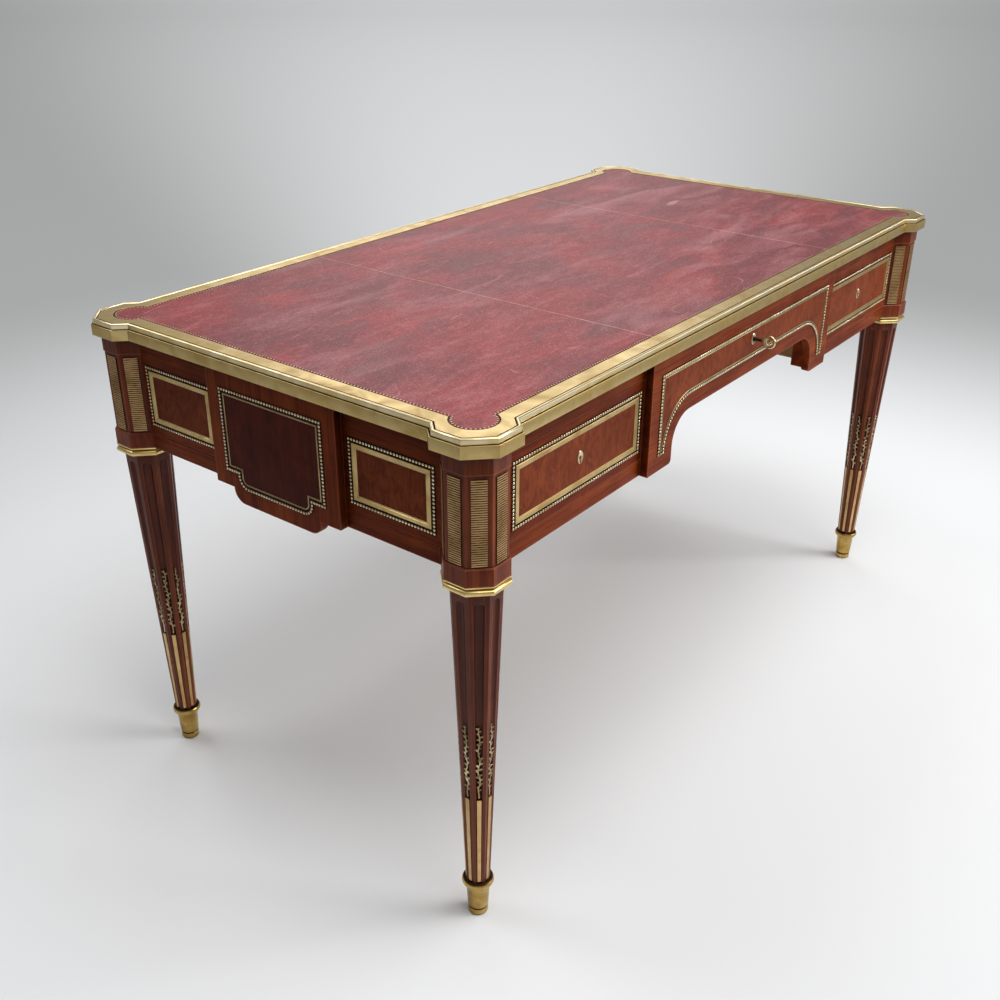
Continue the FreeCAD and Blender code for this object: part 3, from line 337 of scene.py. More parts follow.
@dataclass(frozen=True)
class GiltBrass(Finish):
    """Cast brass, chased and gilt, rubbed bright on its crests, with brown grime and painted shade in its
    corners.
    """

    gold: str = "#a58750"
    rubbed: str = "#cbb07c"
    grime_and_shade: str = "#2e2012"
    roughness: float = 0.3
    reach: float = 5
    spots: float = 0.3
    dents: float = 0.12

    def paint(self, nodes: Nodes) -> None:
        """Lays clouds of tarnish, specks, and corner grime with painted shade over the rubbed gold.

        Args:
            nodes: The material's nodes.
        """
        cloud = nodes.pattern((34, 34, 34), Detail=4.0, Distortion=0.6)
        speck = nodes.pattern((2.4, 2.4, 2.4), Detail=3.0)
        # Grime and painted shade: the colour darkens towards the grime colour in corners and quirks, where
        # other surfaces are near
        corner = nodes.add("AmbientOcclusion", {"Distance": self.reach * MM}, "AO", samples=4)
        colour = nodes.coated(self.rubbed, [
            (self.gold, cloud, 0.38, 0.68, 1),
            (self.grime_and_shade, speck, 0.6, 0.78, self.spots),
            (self.grime_and_shade, corner, 0.82, 0.3, 0.95),
        ])
        dull = (self.roughness - 0.06, self.roughness + 0.1)
        nodes.surface(colour, cloud, dull, speck, self.dents, 0.1, {"Metallic": 1.0})


@dataclass(frozen=True)
class WornLeather(Finish):
    """Dyed calf, waxed and worn: clouds of faded dye, a pale painted sheen, pale scratches, fine grain, a
    dull wax gloss.
    """

    dark: str = "#552628"
    purple: str = "#7a3b3e"
    red: str = "#993a3b"
    pale_dye_and_sheen: str = "#b58384"
    scratch: str = "#cfa09f"

    def paint(self, nodes: Nodes) -> None:
        """Clouds the dye, wipes it pale in places, scratches the surface and grains it.

        Args:
            nodes: The material's nodes.
        """
        cloud = nodes.pattern((260, 170, 200), Detail=3.0, Roughness=0.5, Distortion=0.9)
        wipes_and_sheen = nodes.pattern((120, 40, 80), Detail=6.0, Roughness=0.58, Distortion=0.8)
        mottle = nodes.pattern((10, 7, 9), Detail=4.0, Roughness=0.65)
        crease = nodes.pattern((32, 8, 20), Detail=5.0, Roughness=0.62, Distortion=1.6)
        patch = nodes.pattern((210, 80, 120), Detail=2.0, Distortion=0.7)
        # Calf grain is under a millimetre, and is drawn at twice that so that it shows
        grain = nodes.pattern((2.0, 2.0, 2.0), Detail=3.0)
        # Scratches are thin wandering lines, here and there, where a slow pattern crosses its middle
        bend = nodes.pattern((190, 120, 100), Detail=0.0, Distortion=0.7)
        line = nodes.add("Math", {0: bend, 1: 0.5, 2: 0.0028}, operation="COMPARE")
        where = nodes.pattern((60, 60, 60), Detail=2.0)
        here = nodes.add("MapRange", {0: where, 1: 0.57, 2: 0.68, 4: 0.4})
        scratch = nodes.add("Math", {0: line, 1: here}, operation="MULTIPLY")
        # The pale coats are partly faded dye and partly a painted sheen
        coats = [
            (self.red, cloud, 0.4, 0.62, 1),
            (self.pale_dye_and_sheen, wipes_and_sheen, 0.48, 0.68, 0.42),
            (self.dark, wipes_and_sheen, 0.5, 0.32, 0.52),
            (self.dark, mottle, 0.7, 0.4, 0.35),
        ]
        for relief, strength in ((patch, 0.36), (crease, 0.28), (grain, 0.5)):
            coats.append((self.pale_dye_and_sheen, relief, 0.55, 0.75, strength))
            coats.append((self.dark, relief, 0.5, 0.3, strength))
        colour = nodes.coated(self.purple, [*coats, (self.scratch, scratch, 0, 1, 1)])
        relief = nodes.add("Mix", {0: 0.5, 2: grain, 3: crease})
        nodes.surface(colour, wipes_and_sheen, (0.4, 0.56), relief, 0.45, 0.5, {"Specular IOR Level": 0.14})


@dataclass(frozen=True)
class FiledSteel(Finish):
    """Filed and oiled steel: grey, with brown stains and short file marks."""

    steel: str = "#8f8b86"
    stain: str = "#4a3a2e"

    def paint(self, nodes: Nodes) -> None:
        """Stains the steel and marks it along the file's stroke.

        Args:
            nodes: The material's nodes.
        """
        cloud = nodes.pattern((9, 9, 9), Detail=4.0)
        stroke = nodes.pattern((0.8, 6, 6), Detail=2.0)
        colour = nodes.coated(self.steel, [(self.stain, cloud, 0.45, 0.7, 1)])
        nodes.surface(colour, cloud, (0.28, 0.5), stroke, 0.2, 0.1, {"Metallic": 1.0})


@dataclass(frozen=True)
class StudioPaper(Finish):
    """A roll of matt studio paper: lit by the lamps near the table, and far behind it a painted grey glow,
    dimmer with distance and darker to the sides.
    """

    near: str = "#e6e7e8"
    far: str = "#dcddde"
    far_side_shade: str = "#a6a8a8"
    unlit: str = "#000000"
    deep: float = 0.8
    side_slopes: Point = (0.03, 0.6)
    heading: float = 52.353
    near_reach: float = 900
    far_reach: float = 3000
    deep_reach: float = 15000

    def paint(self, nodes: Nodes) -> None:
        """Greys the paper with its distance from the table and to both sides of its length, as a painted glow
        that dims far off and darkens to the sides.

        Args:
            nodes: The material's nodes.
        """
        turn = math.radians(self.heading)
        spot = nodes.add("TexCoord", {}, "Object")
        away = nodes.add("VectorMath", {0: spot}, "Value", operation="LENGTH")
        reaches = []
        for way in ((math.cos(turn), -math.sin(turn), 0), (math.sin(turn), math.cos(turn), 0)):
            reach = nodes.add("VectorMath", {0: spot, 1: way}, "Value", operation="DOT_PRODUCT")
            reaches.append(nodes.add("Math", {0: reach}, operation="ABSOLUTE"))
        slope = nodes.add("Math", {0: reaches[0], 1: reaches[1]}, operation="DIVIDE")
        near, far, deep = (reach * MM for reach in (self.near_reach, self.far_reach, self.deep_reach))
        fade, side_shade = (
            nodes.add("MapRange", {0: source, 1: start, 2: end}, interpolation_type="SMOOTHSTEP")
            for source, start, end in ((away, near, far), (slope, *self.side_slopes)))
        # Painted light: the far paper glows for camera and glossy rays, dimmer with distance and darker to
        # the sides
        level = nodes.add("MapRange", {0: away, 1: far, 2: deep, 3: 1.0, 4: self.deep})
        seen = nodes.add("LightPath", {}, "Is Camera Ray")
        for kind in ("Is Glossy Ray", "Is Transmission Ray"):
            seen = nodes.add("Math", {0: seen, 1: nodes.add("LightPath", {}, kind)}, operation="ADD")
        for share in (fade, seen):
            level = nodes.add("Math", {0: level, 1: share}, operation="MULTIPLY")
        nodes.join(nodes.tree.nodes["Principled BSDF"], {
            "Base Color": nodes.coated(self.near, [(self.unlit, fade, 0, 1, 1)]),
            "Emission Color": nodes.coated(self.far, [(self.far_side_shade, side_shade, 0, 1, 1)]),
            "Emission Strength": level,
            "Roughness": 0.9,
            "Specular IOR Level": 0.1,
        })


# Dense mahogany under old shellac: orange-brown ribbon figure with a dulled gloss, pale on its rubbed edges,
# which also serve as painted edge highlights
MAHOGANY = {
    grain: PolishedWood(
        f"shellac_polished_mahogany_{grain.name.lower()}", grain, "#401307", "#7e2e0b", "#a9551f",
        edge_wear_and_highlight=0.55)
    for grain in Grain
}
# The legs are of the same wood, with dark old stain on the shafts below their rings
LEG_MAHOGANY = PolishedWood(
    "shellac_polished_stained_mahogany", Grain.UPRIGHT, "#401307", "#7e2e0b", "#a9551f", stain="#381e14",
    gloss=0.2, shade_from=0.44, shade_to=0.92, edge_wear_and_highlight=0.75)
# Figured mahogany veneer: darker, with an upright figure that wanders
FIELD_VENEER = PolishedWood(
    "shellac_polished_figured_veneer", Grain.UPRIGHT, "#471a0e", "#843817", "#a05226",
    ribbon=20, wander=2.4, streaks=0.34, stretch=1.7, pores=0.6)
# The end panels' veneer, cut from redder and darker wood
DARK_VENEER = PolishedWood(
    "shellac_polished_dark_veneer", Grain.UPRIGHT, "#300c07", "#55190b", "#6f2a12",
    ribbon=30, wander=1.4, streaks=0.4, stretch=2.6, pores=0.7)
# Planed and waxed oak linings: pale brown, nearly matt
OAK = {
    grain: PolishedWood(
        f"planed_waxed_oak_{grain.name.lower()}", grain, "#6b4a2a", "#a37a4a", "#bd9763",
        ribbon=9, roughness=0.55, gloss=0.3)
    for grain in Grain
}
# Broad plain mouldings: satin gold, a little tarnished, with soft lights
SATIN_BRASS = GiltBrass("chased_gilt_brass_satin", "#b6985c", "#cdb278", roughness=0.36, spots=0.15)
FASCIA_BRASS = GiltBrass("planished_gilt_brass_edge", "#b99b5f", "#cfb57b", roughness=0.34, spots=0.12)
# Thin flat work, wiped less often: duller, and brown along its sides with grime and painted shade
BAND_BRASS = GiltBrass("burnished_brass_bands", "#b0915a", "#cbb07a", roughness=0.38, reach=3)
FILLET_BRASS = GiltBrass("tarnished_brass_fillets", "#8a7452", "#ab946c", roughness=0.42, reach=3)
STRIP_BRASS = GiltBrass("planed_gilt_brass_strips", "#bd9763", "#d6b480", roughness=0.42, reach=1.2)
# Rounds within a hand's reach: clean and bright, with long crisp lights
RING_BRASS = GiltBrass(
    "polished_gilt_brass_rings", "#d0ad66", "#ead093", roughness=0.32, reach=1.5, spots=0.08, dents=0.03)
EDGE_BEAD_BRASS = GiltBrass(
    "rubbed_gilt_brass_edge_bead", "#dcc38e", "#eeddb4", roughness=0.34, reach=1.5, spots=0.03, dents=0.02)
# Cast beads and plates: crests rubbed pale, deep grime and painted shade between them
BEAD_BRASS = GiltBrass("rubbed_gilt_brass_beads", "#bfaa7e", "#e6d9ba", roughness=0.28, reach=3)
RELIEF_BRASS = GiltBrass("chased_gilt_brass_relief", "#c2ab7c", "#e8d9b4", roughness=0.3, reach=3)
# Small leaves: brown with age and painted shade in their hollows, gold where a duster reaches
GARLAND_BRASS = GiltBrass(
    "patinated_chased_brass_leaves", "#9c8459", "#dccaa0", "#1c120a", roughness=0.34, reach=3)
# Reeded plaques: dull tan crests, and brown grooves that never were polished
PLAQUE_BRASS = GiltBrass("chased_gilt_brass_reeds", "#a07f56", "#bd9a6c", roughness=0.52, reach=1.0)
GROOVE_BRASS = GiltBrass("tarnished_brass_grooves", "#5e4228", "#735234", "#3c2818", roughness=0.6)
# The key and the feet: turned or filed smooth, with sharp lights
KEY_BRASS = GiltBrass("polished_pale_brass_bow", "#b7a272", "#d9c898", roughness=0.26, reach=3)
TURNED_BRASS = GiltBrass("turned_lacquered_brass", "#9e7d3e", "#c6a560", roughness=0.27, reach=4)
# Old black wax and painted shade in quirks and grooves: nearly black, with a faint metal sheen
QUIRK_WAX_AND_SHADE_BRASS = GiltBrass("waxed_grime_in_brass_quirks", "#2b1d11", "#3a2917", "#120b06", roughness=0.6)
# Gold leaf stamped into the leather's rim, mostly rubbed off
TOOLED_GILT = GiltBrass("stamped_rubbed_gilt", "#c9a684", "#e4ccaa", roughness=0.5, reach=0.5)
# Waxed calf: clouded red and purple with a dull sheen
LEATHER = WornLeather("waxed_dyed_calf_leather")
# The rim against the brass, where black wax gathers and its shade is painted in; and the skived seams, where
# the dye is rubbed off
RIM_LEATHER = WornLeather("waxed_grimed_calf_rim", "#1c0c0b", "#2b1310", "#33150f", "#40201a", "#40201a")
SEAM_LEATHER = WornLeather("rubbed_skived_calf_edges", "#8d5c5a", "#b58782", "#bd8f86", "#d3b0a8", "#d8b8b0")
# Lock steel: grey and half matt, with brown stains
STEEL = FiledSteel("filed_oiled_steel")
# The key's shank, browned by hands and darkened further as painted shade: dark, with a thin bright line where
# it turns to the light
DARK_SHANK_STEEL_AND_SHADE = FiledSteel("filed_browned_steel", "#4e443b", "#2a2019")
# Matt paper without a sheen, so that only soft shadows show on it
PAPER = StudioPaper("matt_studio_paper")


# Outlines


def arc(centre: Point, radius: float, start: float, end: float, steps: int) -> Loop:
    """Points on an arc, both ends among them.

    Args:
        centre: Its centre.
        radius: Its radius.
        start: First angle in degrees.
        end: Last angle in degrees.
        steps: Number of chords.

    Returns:
        The points.
    """
    turns = [math.radians(start + (end - start) * i / steps) for i in range(steps + 1)]
    return [(centre[0] + radius * math.cos(t), centre[1] + radius * math.sin(t)) for t in turns]


def circle(sides: int, radius: float, start: float = 0) -> Loop:
    """Even places round the origin, from a direction in radians, or the origin itself for a radius of 0."""
    turns = [start + 2 * math.pi * i / sides for i in range(sides if radius else 1)]
    return [(radius * math.cos(t), radius * math.sin(t)) for t in turns]


def raised(loop: Loop, height: float, middle: Point = (0, 0)) -> Ring:
    """An outline about a middle, at a height."""
    return [(middle[0] + x, middle[1] + y, height) for x, y in loop]


def mirrored(half: Loop) -> Loop:
    """A closed outline from its right half, which runs downwards from the head."""
    return half + [(-x, y) for x, y in reversed(half)]


def rectangle(low: Point, high: Point) -> Loop:
    """The four corners between two opposite ones."""
    return [low, (high[0], low[1]), high, (low[0], high[1])]


def area(loop: Loop) -> float:
    """The area in an outline, negative where it runs clockwise."""
    return sum(a[0] * b[1] - b[0] * a[1] for a, b in zip(loop, loop[1:] + loop[:1])) / 2


def anticlockwise(loop: Loop) -> Loop:
    """The outline, turned round if it runs clockwise."""
    return loop if area(loop) > 0 else loop[::-1]


def inset(loop: Loop, distance: float) -> Loop:
    """Draws an outline in by a distance, with mitred corners.

    Args:
        loop: An anticlockwise outline.
        distance: How far each edge moves inwards.

    Returns:
        The drawn-in outline, point for point.
    """
    moved = []
    for before, here, after in zip(loop[-1:] + loop[:-1], loop, loop[1:] + loop[:1]):
        first = Vector((here[0] - before[0], here[1] - before[1])).normalized()
        second = Vector((after[0] - here[0], after[1] - here[1])).normalized()
        share = distance / (1 + first.dot(second))
        moved.append((here[0] - (first.y + second.y) * share, here[1] + (first.x + second.x) * share))
    return moved


def spaced(loop: Loop, pitch: float, sharp: float = 25) -> list[tuple[Point, float]]:
    """Places along a closed outline, one on each sharp corner and even ones between.

    Args:
        loop: The outline.
        pitch: Wanted distance between places.
        sharp: Turn in degrees from which a corner counts as sharp.

    Returns:
        Each place with the direction of the outline there, in radians.
    """
    limit = math.cos(math.radians(sharp))
    count = len(loop)
    ways = [Vector((b[0] - a[0], b[1] - a[1])) for a, b in zip(loop, loop[1:] + loop[:1])]
    corners = [i for i in range(count) if ways[i - 1].normalized().dot(ways[i].normalized()) < limit] or [0]
    places = []
    for start, end in zip(corners, corners[1:] + [corners[0] + count]):
        lengths = [ways[i % count].length for i in range(start, end)]
        steps = max(1, round(sum(lengths) / pitch))
        edge, gone = 0, 0.0
        for step in range(steps):
            wanted = sum(lengths) * step / steps
            while wanted > gone + lengths[edge] and edge < len(lengths) - 1:
                gone += lengths[edge]
                edge += 1
            way = ways[(start + edge) % count]
            spot = Vector(loop[(start + edge) % count]) + way.normalized() * (wanted - gone)
            places.append((tuple(spot), math.atan2(way.y, way.x)))
    return places


# Mesh making


@dataclass
class MeshMaker:
    """Gathers closed shells and makes one piece of them."""

    points: list[Vector] = field(default_factory=list)
    faces: list[tuple[int, ...]] = field(default_factory=list)
    coats: list[int] = field(default_factory=list)

    def add(self, points: list[Vector], faces: list[tuple[int, ...]], coats: list[int]) -> None:
        """Adds one shell.

        Args:
            points: Its points.
            faces: Its faces, which count from the shell's first point.
            coats: Number of each face's finish.
        """
        first = len(self.points)
        self.points += points
        self.faces += [tuple(first + i for i in face) for face in faces]
        self.coats += coats

    def tube(
        self, place: Matrix, rings: list[Ring], coat: int = 0, looped: bool = False,
        edges: dict[int, int] | None = None, gaps: dict[int, int] | None = None,
    ) -> None:
        """Adds one shell that runs through rings of points, with a flat face on each open end.

        Args:
            place: From the rings' axes to the frame.
            rings: Points of each ring. A ring of one point is a tip.
            coat: Number of the shell's finish.
            looped: Whether the last ring joins the first.
            edges: Finishes along single edges of the rings, where they differ.
            gaps: Finishes between single rings and the next, where they differ.
        """
        around = max(len(ring) for ring in rings)
        starts = [sum(len(ring) for ring in rings[:i]) for i in range(len(rings))]
        faces, coats = [], []
        for gap in range(len(rings) - 1 + looped):
            ahead = (gap + 1) % len(rings)
            for i in range(around):
                corners = ((gap, i), (gap, i + 1), (ahead, i + 1), (ahead, i))
                face = [starts[ring] + k % len(rings[ring]) for ring, k in corners]
                faces.append(tuple(dict.fromkeys(face)))
                coats.append((gaps or {}).get(gap, (edges or {}).get(i, coat)))
        for end in () if looped else (0, -1):
            if len(rings[end]) > 1:
                faces.append(tuple(starts[end] + i for i in range(len(rings[end]))))
                coats.append(coat)
        self.add([place @ Vector(spot) for ring in rings for spot in ring], faces, coats)

    def sweep(
        self, face: Matrix, loop: Loop, section: Loop, coat: int = 0, edges: dict[int, int] | None = None
    ) -> None:
        """Runs a closed section round a closed outline.

        Args:
            face: The face that it lies on.
            loop: An anticlockwise outline.
            section: Distances in from the outline and heights above the face.
            coat: Number of its finish.
            edges: Finishes of single edges of the section, where they differ.
        """
        runs = [raised(inset(loop, distance), height) for distance, height in section]
        self.tube(face, list(zip(*runs)), coat, looped=True, edges=edges)

    def build(self, name: str, body: str, slot: str, *finishes: Finish, sharp: float = 35) -> Object:
        """Makes the piece, finishes it and lets it ride on its body.

        Args:
            name: The piece's name.
            body: CAD body that carries it.
            slot: Material slot of the record; not used.
            finishes: Its finishes, in the order of the faces' numbers.
            sharp: Edges sharper than this many degrees stay crisp.

        Returns:
            The piece.
        """
        mesh = bpy.data.meshes.new(name)
        mesh.from_pydata([(point * MM)[:] for point in self.points], [], self.faces)
        shell = bmesh.new()
        shell.from_mesh(mesh)
        bmesh.ops.recalc_face_normals(shell, faces=shell.faces)
        shell.to_mesh(mesh)
        shell.free()
        mesh.shade_smooth()
        mesh.set_sharp_from_angle(angle=math.radians(sharp))
        for finish in finishes:
            mesh.materials.append(finish.make())
        mesh.polygons.foreach_set("material_index", self.coats)
        piece = put(name, mesh)
        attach(piece, body)
        LOG.info("built %s: %d faces on %s", name, len(mesh.polygons), body)
        return piece


# Brass frames and veneer fields


@dataclass
class FaceTrim:
    """Bead rows, flat bands, fillets and the veneer fields that they frame, on all four sides."""

    bead_width: float = 4.4
    bead_height: float = 2.2
    bead_pitch: float = 5.2
    bead_base: float = 0.6
    bead_sides: int = 8
    bead_section: Section = ((0.94, 0), (0.84, 0.55), (0.5, 0.88), (0, 1))
    band_start: float = 6.8
    band_width: float = 7.6
    band_height: float = 1.6
    band_section: Section = (
        (0, 0), (0, 0.8), (0.4, 1), (5.2, 1), (5.7, 0.55), (7.2, 0.55), (7.6, 0.3), (7.6, 0))
    fillet_width: float = 2.2
    fillet_height: float = 1.4
    fillet_section: Section = ((0, 0), (0, 0.5), (0.2, 0.86), (0.5, 1), (0.8, 0.86), (1, 0.5), (1, 0))
    centre_inset: float = 24
    centre_fillet: float = 5.2
    end_fillet: float = 7.6
    field_height: float = 0.35
    field_gap: float = 0.3
    pendant_width: float = 65
    arch_rise: float = 71.5
    arch_radius: float = 45
    arch_steps: int = 18
    end_drop: float = 21.5
    end_drop_width: float = 146
    end_radius: float = 18.5
    end_steps: int = 8
    frame_margin: float = 9
    brass: MeshMaker = field(default_factory=MeshMaker)
    wood: MeshMaker = field(default_factory=MeshMaker)

    def bead_row(self, face: Matrix, loop: Loop) -> None:
        """A row of cast beads on a thin strip.

        Args:
            face: The face that it lies on.
            loop: The row's outer edge.
        """
        width, base = self.bead_width, self.bead_base
        # The strip under the beads takes the near-black quirk finish: black wax and painted shade between the
        # beads
        self.brass.sweep(face, loop, [(0, 0), (0, base), (width, base), (width, 0)], coat=1)
        for spot, _ in spaced(inset(loop, width / 2), self.bead_pitch):
            rings = []
            for share, height in self.bead_section:
                out = base + height * (self.bead_height - base)
                rings.append(raised(circle(self.bead_sides, width / 2 * share), out, spot))
            self.brass.tube(face, rings)

    def framed(
        self, face: Matrix, outline: Callable[[float], Loop], fillet: float = 0, coat: int = 0
    ) -> None:
        """A bead row, a band or a fillet inside it, and a thin sheet of veneer.

        Args:
            face: The face that they lie on.
            outline: Gives the bead row's outer edge, drawn in by a distance.
            fillet: How far inside that edge the fillet lies, or 0 for a band.
            coat: Number of the veneer's finish, 1 for the darker veneer.
        """
        self.bead_row(face, outline(0))
        if fillet:
            section = [(x * self.fillet_width, y * self.fillet_height) for x, y in self.fillet_section]
            self.brass.sweep(face, outline(fillet), section, coat=3)
            edge = outline(self.bead_width + self.field_gap)
        else:
            section = [(x, y * self.band_height) for x, y in self.band_section]
            self.brass.sweep(face, outline(self.band_start), section, coat=2)
            edge = outline(self.band_start + self.band_width + self.field_gap)
        self.wood.tube(face, [raised(edge, out) for out in (0, self.field_height)], coat)

    def centre_loop(self, drawn_in: float) -> Loop:
        """The bead row of the arched centre front.

        Args:
            drawn_in: How far it is drawn in.

        Returns:
            An anticlockwise outline.
        """
        low, high = box("centre_drawer_front")
        margin = self.centre_inset + drawn_in
        side, sill = high.x - margin, low.z + margin
        spring, radius = low.z + self.arch_rise - self.arch_radius, self.arch_radius + margin
        start = math.degrees(math.asin((sill - spring) / radius))
        shoulder = high.x - self.pendant_width - self.arch_radius
        arch = arc((shoulder, spring), radius, start, 90, self.arch_steps)
        return anticlockwise(mirrored([(side, high.z - margin), (side, sill), *arch]))

    def end_loop(self, drawn_in: float) -> Loop:
        """The bead row of an end's dropped centre panel.

        Args:
            drawn_in: How far it is drawn in.

        Returns:
            An anticlockwise outline.
        """
        low, high = box("end_panel_left")
        margin = self.centre_inset + drawn_in
        half, drop, radius = high.y - margin, self.end_drop_width / 2 - drawn_in, self.end_radius - drawn_in
        shoulder, foot = low.z + self.end_drop + margin, low.z + margin
        corner = arc((drop - radius, foot + radius), radius, 0, -90, self.end_steps)
        side = [(half, high.z - margin), (half, shoulder), (drop, shoulder)]
        return anticlockwise(mirrored(side + corner))

    def front(self, face: Matrix, drawer: str) -> None:
        """Frames a drawer front, or the sham one behind it.

        Args:
            face: The front's face.
            drawer: Name of the drawer.
        """
        if drawer == "centre_drawer":
            self.framed(face, self.centre_loop, self.centre_fillet)
        else:
            low, high = box(f"{drawer}_frame")
            self.framed(face, partial(inset, rectangle((low.x, low.z), (high.x, high.z))))

    def end(self, side: Side) -> None:
        """Frames an end: its centre panel, and the boards beside it.

        Args:
            side: Which end it is.
        """
        low, high = box("left_drawer_frame")
        inner = box("end_panel_left")[1].y + self.frame_margin
        outer = box("end_board_left")[1].y - self.frame_margin
        board, panel = (side.face(box(f"end_{part}_right")[1].x) for part in ("board", "panel"))
        for near, far in ((inner, outer), (-outer, -inner)):
            self.framed(board, partial(inset, rectangle((near, low.z), (far, high.z))))
        self.framed(panel, self.end_loop, self.end_fillet, coat=1)

    def hand_over(self, name: str, body: str, node: str) -> None:
        """Makes the brass and the veneer that were gathered, and starts the next group.

        Args:
            name: Start of the pieces' names.
            body: Body that carries them.
            node: CAD node that the brass stands for.
        """
        finishes = (BEAD_BRASS, QUIRK_WAX_AND_SHADE_BRASS, BAND_BRASS, FILLET_BRASS)
        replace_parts(self.brass.build(f"{name}_brass_trim", body, "brass", *finishes), node)
        self.wood.build(f"{name}_veneer_fields", body, "mahogany", FIELD_VENEER, DARK_VENEER)
        self.brass, self.wood = MeshMaker(), MeshMaker()

    def build(self) -> None:
        """Builds the trim of every side, each on the body that carries it."""
        for drawer in DRAWERS:
            self.front(Side.FRONT.face(-box(f"{drawer}_front")[0].y), drawer)
            self.hand_over(drawer, drawer, f"{drawer}_frame")
        for drawer, panel in zip(DRAWERS, ("side_panels", "side_panels", "centre_panel")):
            self.front(Side.BACK.face(box(f"back_{panel}")[1].y), drawer)
        self.hand_over("back", "table", "back_frames")
        for side in (Side.LEFT, Side.RIGHT):
            self.end(side)
        self.hand_over("end", "table", "end_frames")


# Mounts on the legs


@dataclass
class LegMounts:
    """Reeded plaques on the heads of the legs and leaf garlands in their flutes."""

    head_width: float = 77
    plaque_turns: tuple[float, ...] = (-90, -45, 0, 45, 90)
    plaque_width: float = 19.5
    plaque_backing: float = 0.4
    reed_count: int = 38
    reed_height: float = 1.2
    reed_columns: int = 6
    reed_sway: float = 0.08
    reed_section: Section = ((0, 0), (0.16, 0), (0.28, 0.8), (0.58, 1), (0.88, 0.8))
    garland_gap: float = 3
    garland_length: float = 120
    garland_sunk: float = 1.9
    flutes: int = 8
    foot_width: float = 32
    shaft_top_width: float = 66.4
    stem_steps: int = 36
    stem_sides: int = 5
    stem_out: float = 0.6
    stem_radius: float = 1.1
    stem_taper: float = 0.5
    stem_foot: float = 0.2
    stem_sway: float = 1.87
    stem_settle: float = 1.02
    stem_bends: float = 7
    leaf_count: int = 24
    leaf_start: float = 0.1
    leaf_end: float = 0.98
    leaf_length: float = 8.6
    leaf_width: float = 4.4
    leaf_section: Section = ((0.25, 0.8), (0.5, 1), (0.78, 0.62))
    leaf_lean: Point = (20, 75)
    leaf_sizes: Point = (0.6, 1.15)
    leaf_shrink: float = 0.4
    leaf_curl: float = 0.25
    leaf_rib: float = 0.9
    leaf_back: float = 0.3
    bud_sides: int = 6
    bud_turns: tuple[float, ...] = (-0.7, 0, 0.7)
    tip_bud: float = 1.5
    flower_shares: tuple[float, ...] = (0.3, 0.55, 0.8)
    flower_shift: float = 0.04
    flower_out: float = 0.7
    flower_eye: float = 1.1
    petal_count: int = 5
    petal_reach: float = 1.9
    petal_radius: float = 0.95
    petal_sunk: float = 0.2
    dice: random.Random = field(default_factory=partial(random.Random, SEED))
    plaques: MeshMaker = field(default_factory=MeshMaker)
    garlands: MeshMaker = field(default_factory=MeshMaker)

    def plaque(self, place: Matrix) -> None:
        """One plaque of reeds, chased by hand and so a little uneven.

        Args:
            place: From the plaque's own axes (out, across, up) to the frame.
        """
        low, high = box("ribbed_plaques")
        tall = high.z - low.z
        pitch = tall / self.reed_count
        rows = [(0.0, 0.0, 0)]
        for reed in range(self.reed_count):
            for share, rise in self.reed_section:
                rows.append((pitch * (reed + share), self.plaque_backing + self.reed_height * rise, reed))
        rows += [(tall, self.plaque_backing, self.reed_count), (tall, 0.0, 0)]
        columns, most = range(self.reed_columns), self.reed_sway
        sway = [[self.dice.uniform(-most, most) for _ in columns] for _ in range(self.reed_count + 1)]
        rings = []
        for column in columns:
            across = self.plaque_width * (column / columns[-1] - 0.5)
            lifts = [sway[reed][column] * pitch if 0 < up < tall else 0 for up, _, reed in rows]
            rings.append([(out, across, up + lift) for (up, out, _), lift in zip(rows, lifts)])
        count = len(self.reed_section)
        crests = {i: 0 for i in range(1, len(rows) - 1) if (i - 1) % count not in (0, count - 1)}
        self.plaques.tube(place, rings, coat=1, edges={0: 0, **crests})

    def leaf(self, place: Matrix, size: float) -> None:
        """One pointed leaf: a thin lens with a raised rib, from the origin along its own Y axis.

        Args:
            place: From the leaf's axes (out, along, across) to the frame.
            size: Its size, as a share of the largest leaf's.
        """
        length, width = self.leaf_length * size, self.leaf_width * size
        rings = [[(0, 0, 0)]]
        for share, spread in self.leaf_section:
            half, curl = width / 2 * spread, self.leaf_curl * share
            rib = self.leaf_rib + self.leaf_back * share
            spots = ((curl, -half), (rib, 0), (curl, half), (-self.leaf_back, 0))
            rings.append([(out, length * share, across) for out, across in spots])
        rings.append([(self.leaf_rib + self.leaf_back, length, 0)])
        self.garlands.tube(place, rings)

    def bud(self, middle: Matrix, radius: float) -> None:
        """A small round bud or berry.

        Args:
            middle: Place of its middle.
            radius: Its radius.
        """
        rings = []
        for share, rise in ((0, -1), *((math.cos(turn), math.sin(turn)) for turn in self.bud_turns), (0, 1)):
            rings.append([(x, rise * radius, z) for x, z in circle(self.bud_sides, share * radius)])
        self.garlands.tube(middle, rings)

    def garland(self, place: Matrix) -> None:
        """A winding stem with a leaf in each bend, small flowers, and a bud at its tip.

        Args:
            place: From the garland's axes (out, across, up) to the frame.
        """
        phase = self.dice.uniform(0, 2 * math.pi)

        def stem(share: float) -> Vector:
            """The stem's middle, which is straight at the foot and sways less towards the tip.

            Args:
                share: Share of the stem's length.

            Returns:
                The place, in the garland's axes.
            """
            reach = min(1.0, share / self.stem_foot) * (self.stem_sway - self.stem_settle * share)
            sway = reach * math.sin(share * self.stem_bends * math.pi + phase)
            return Vector((self.stem_out, sway, self.garland_length * share))

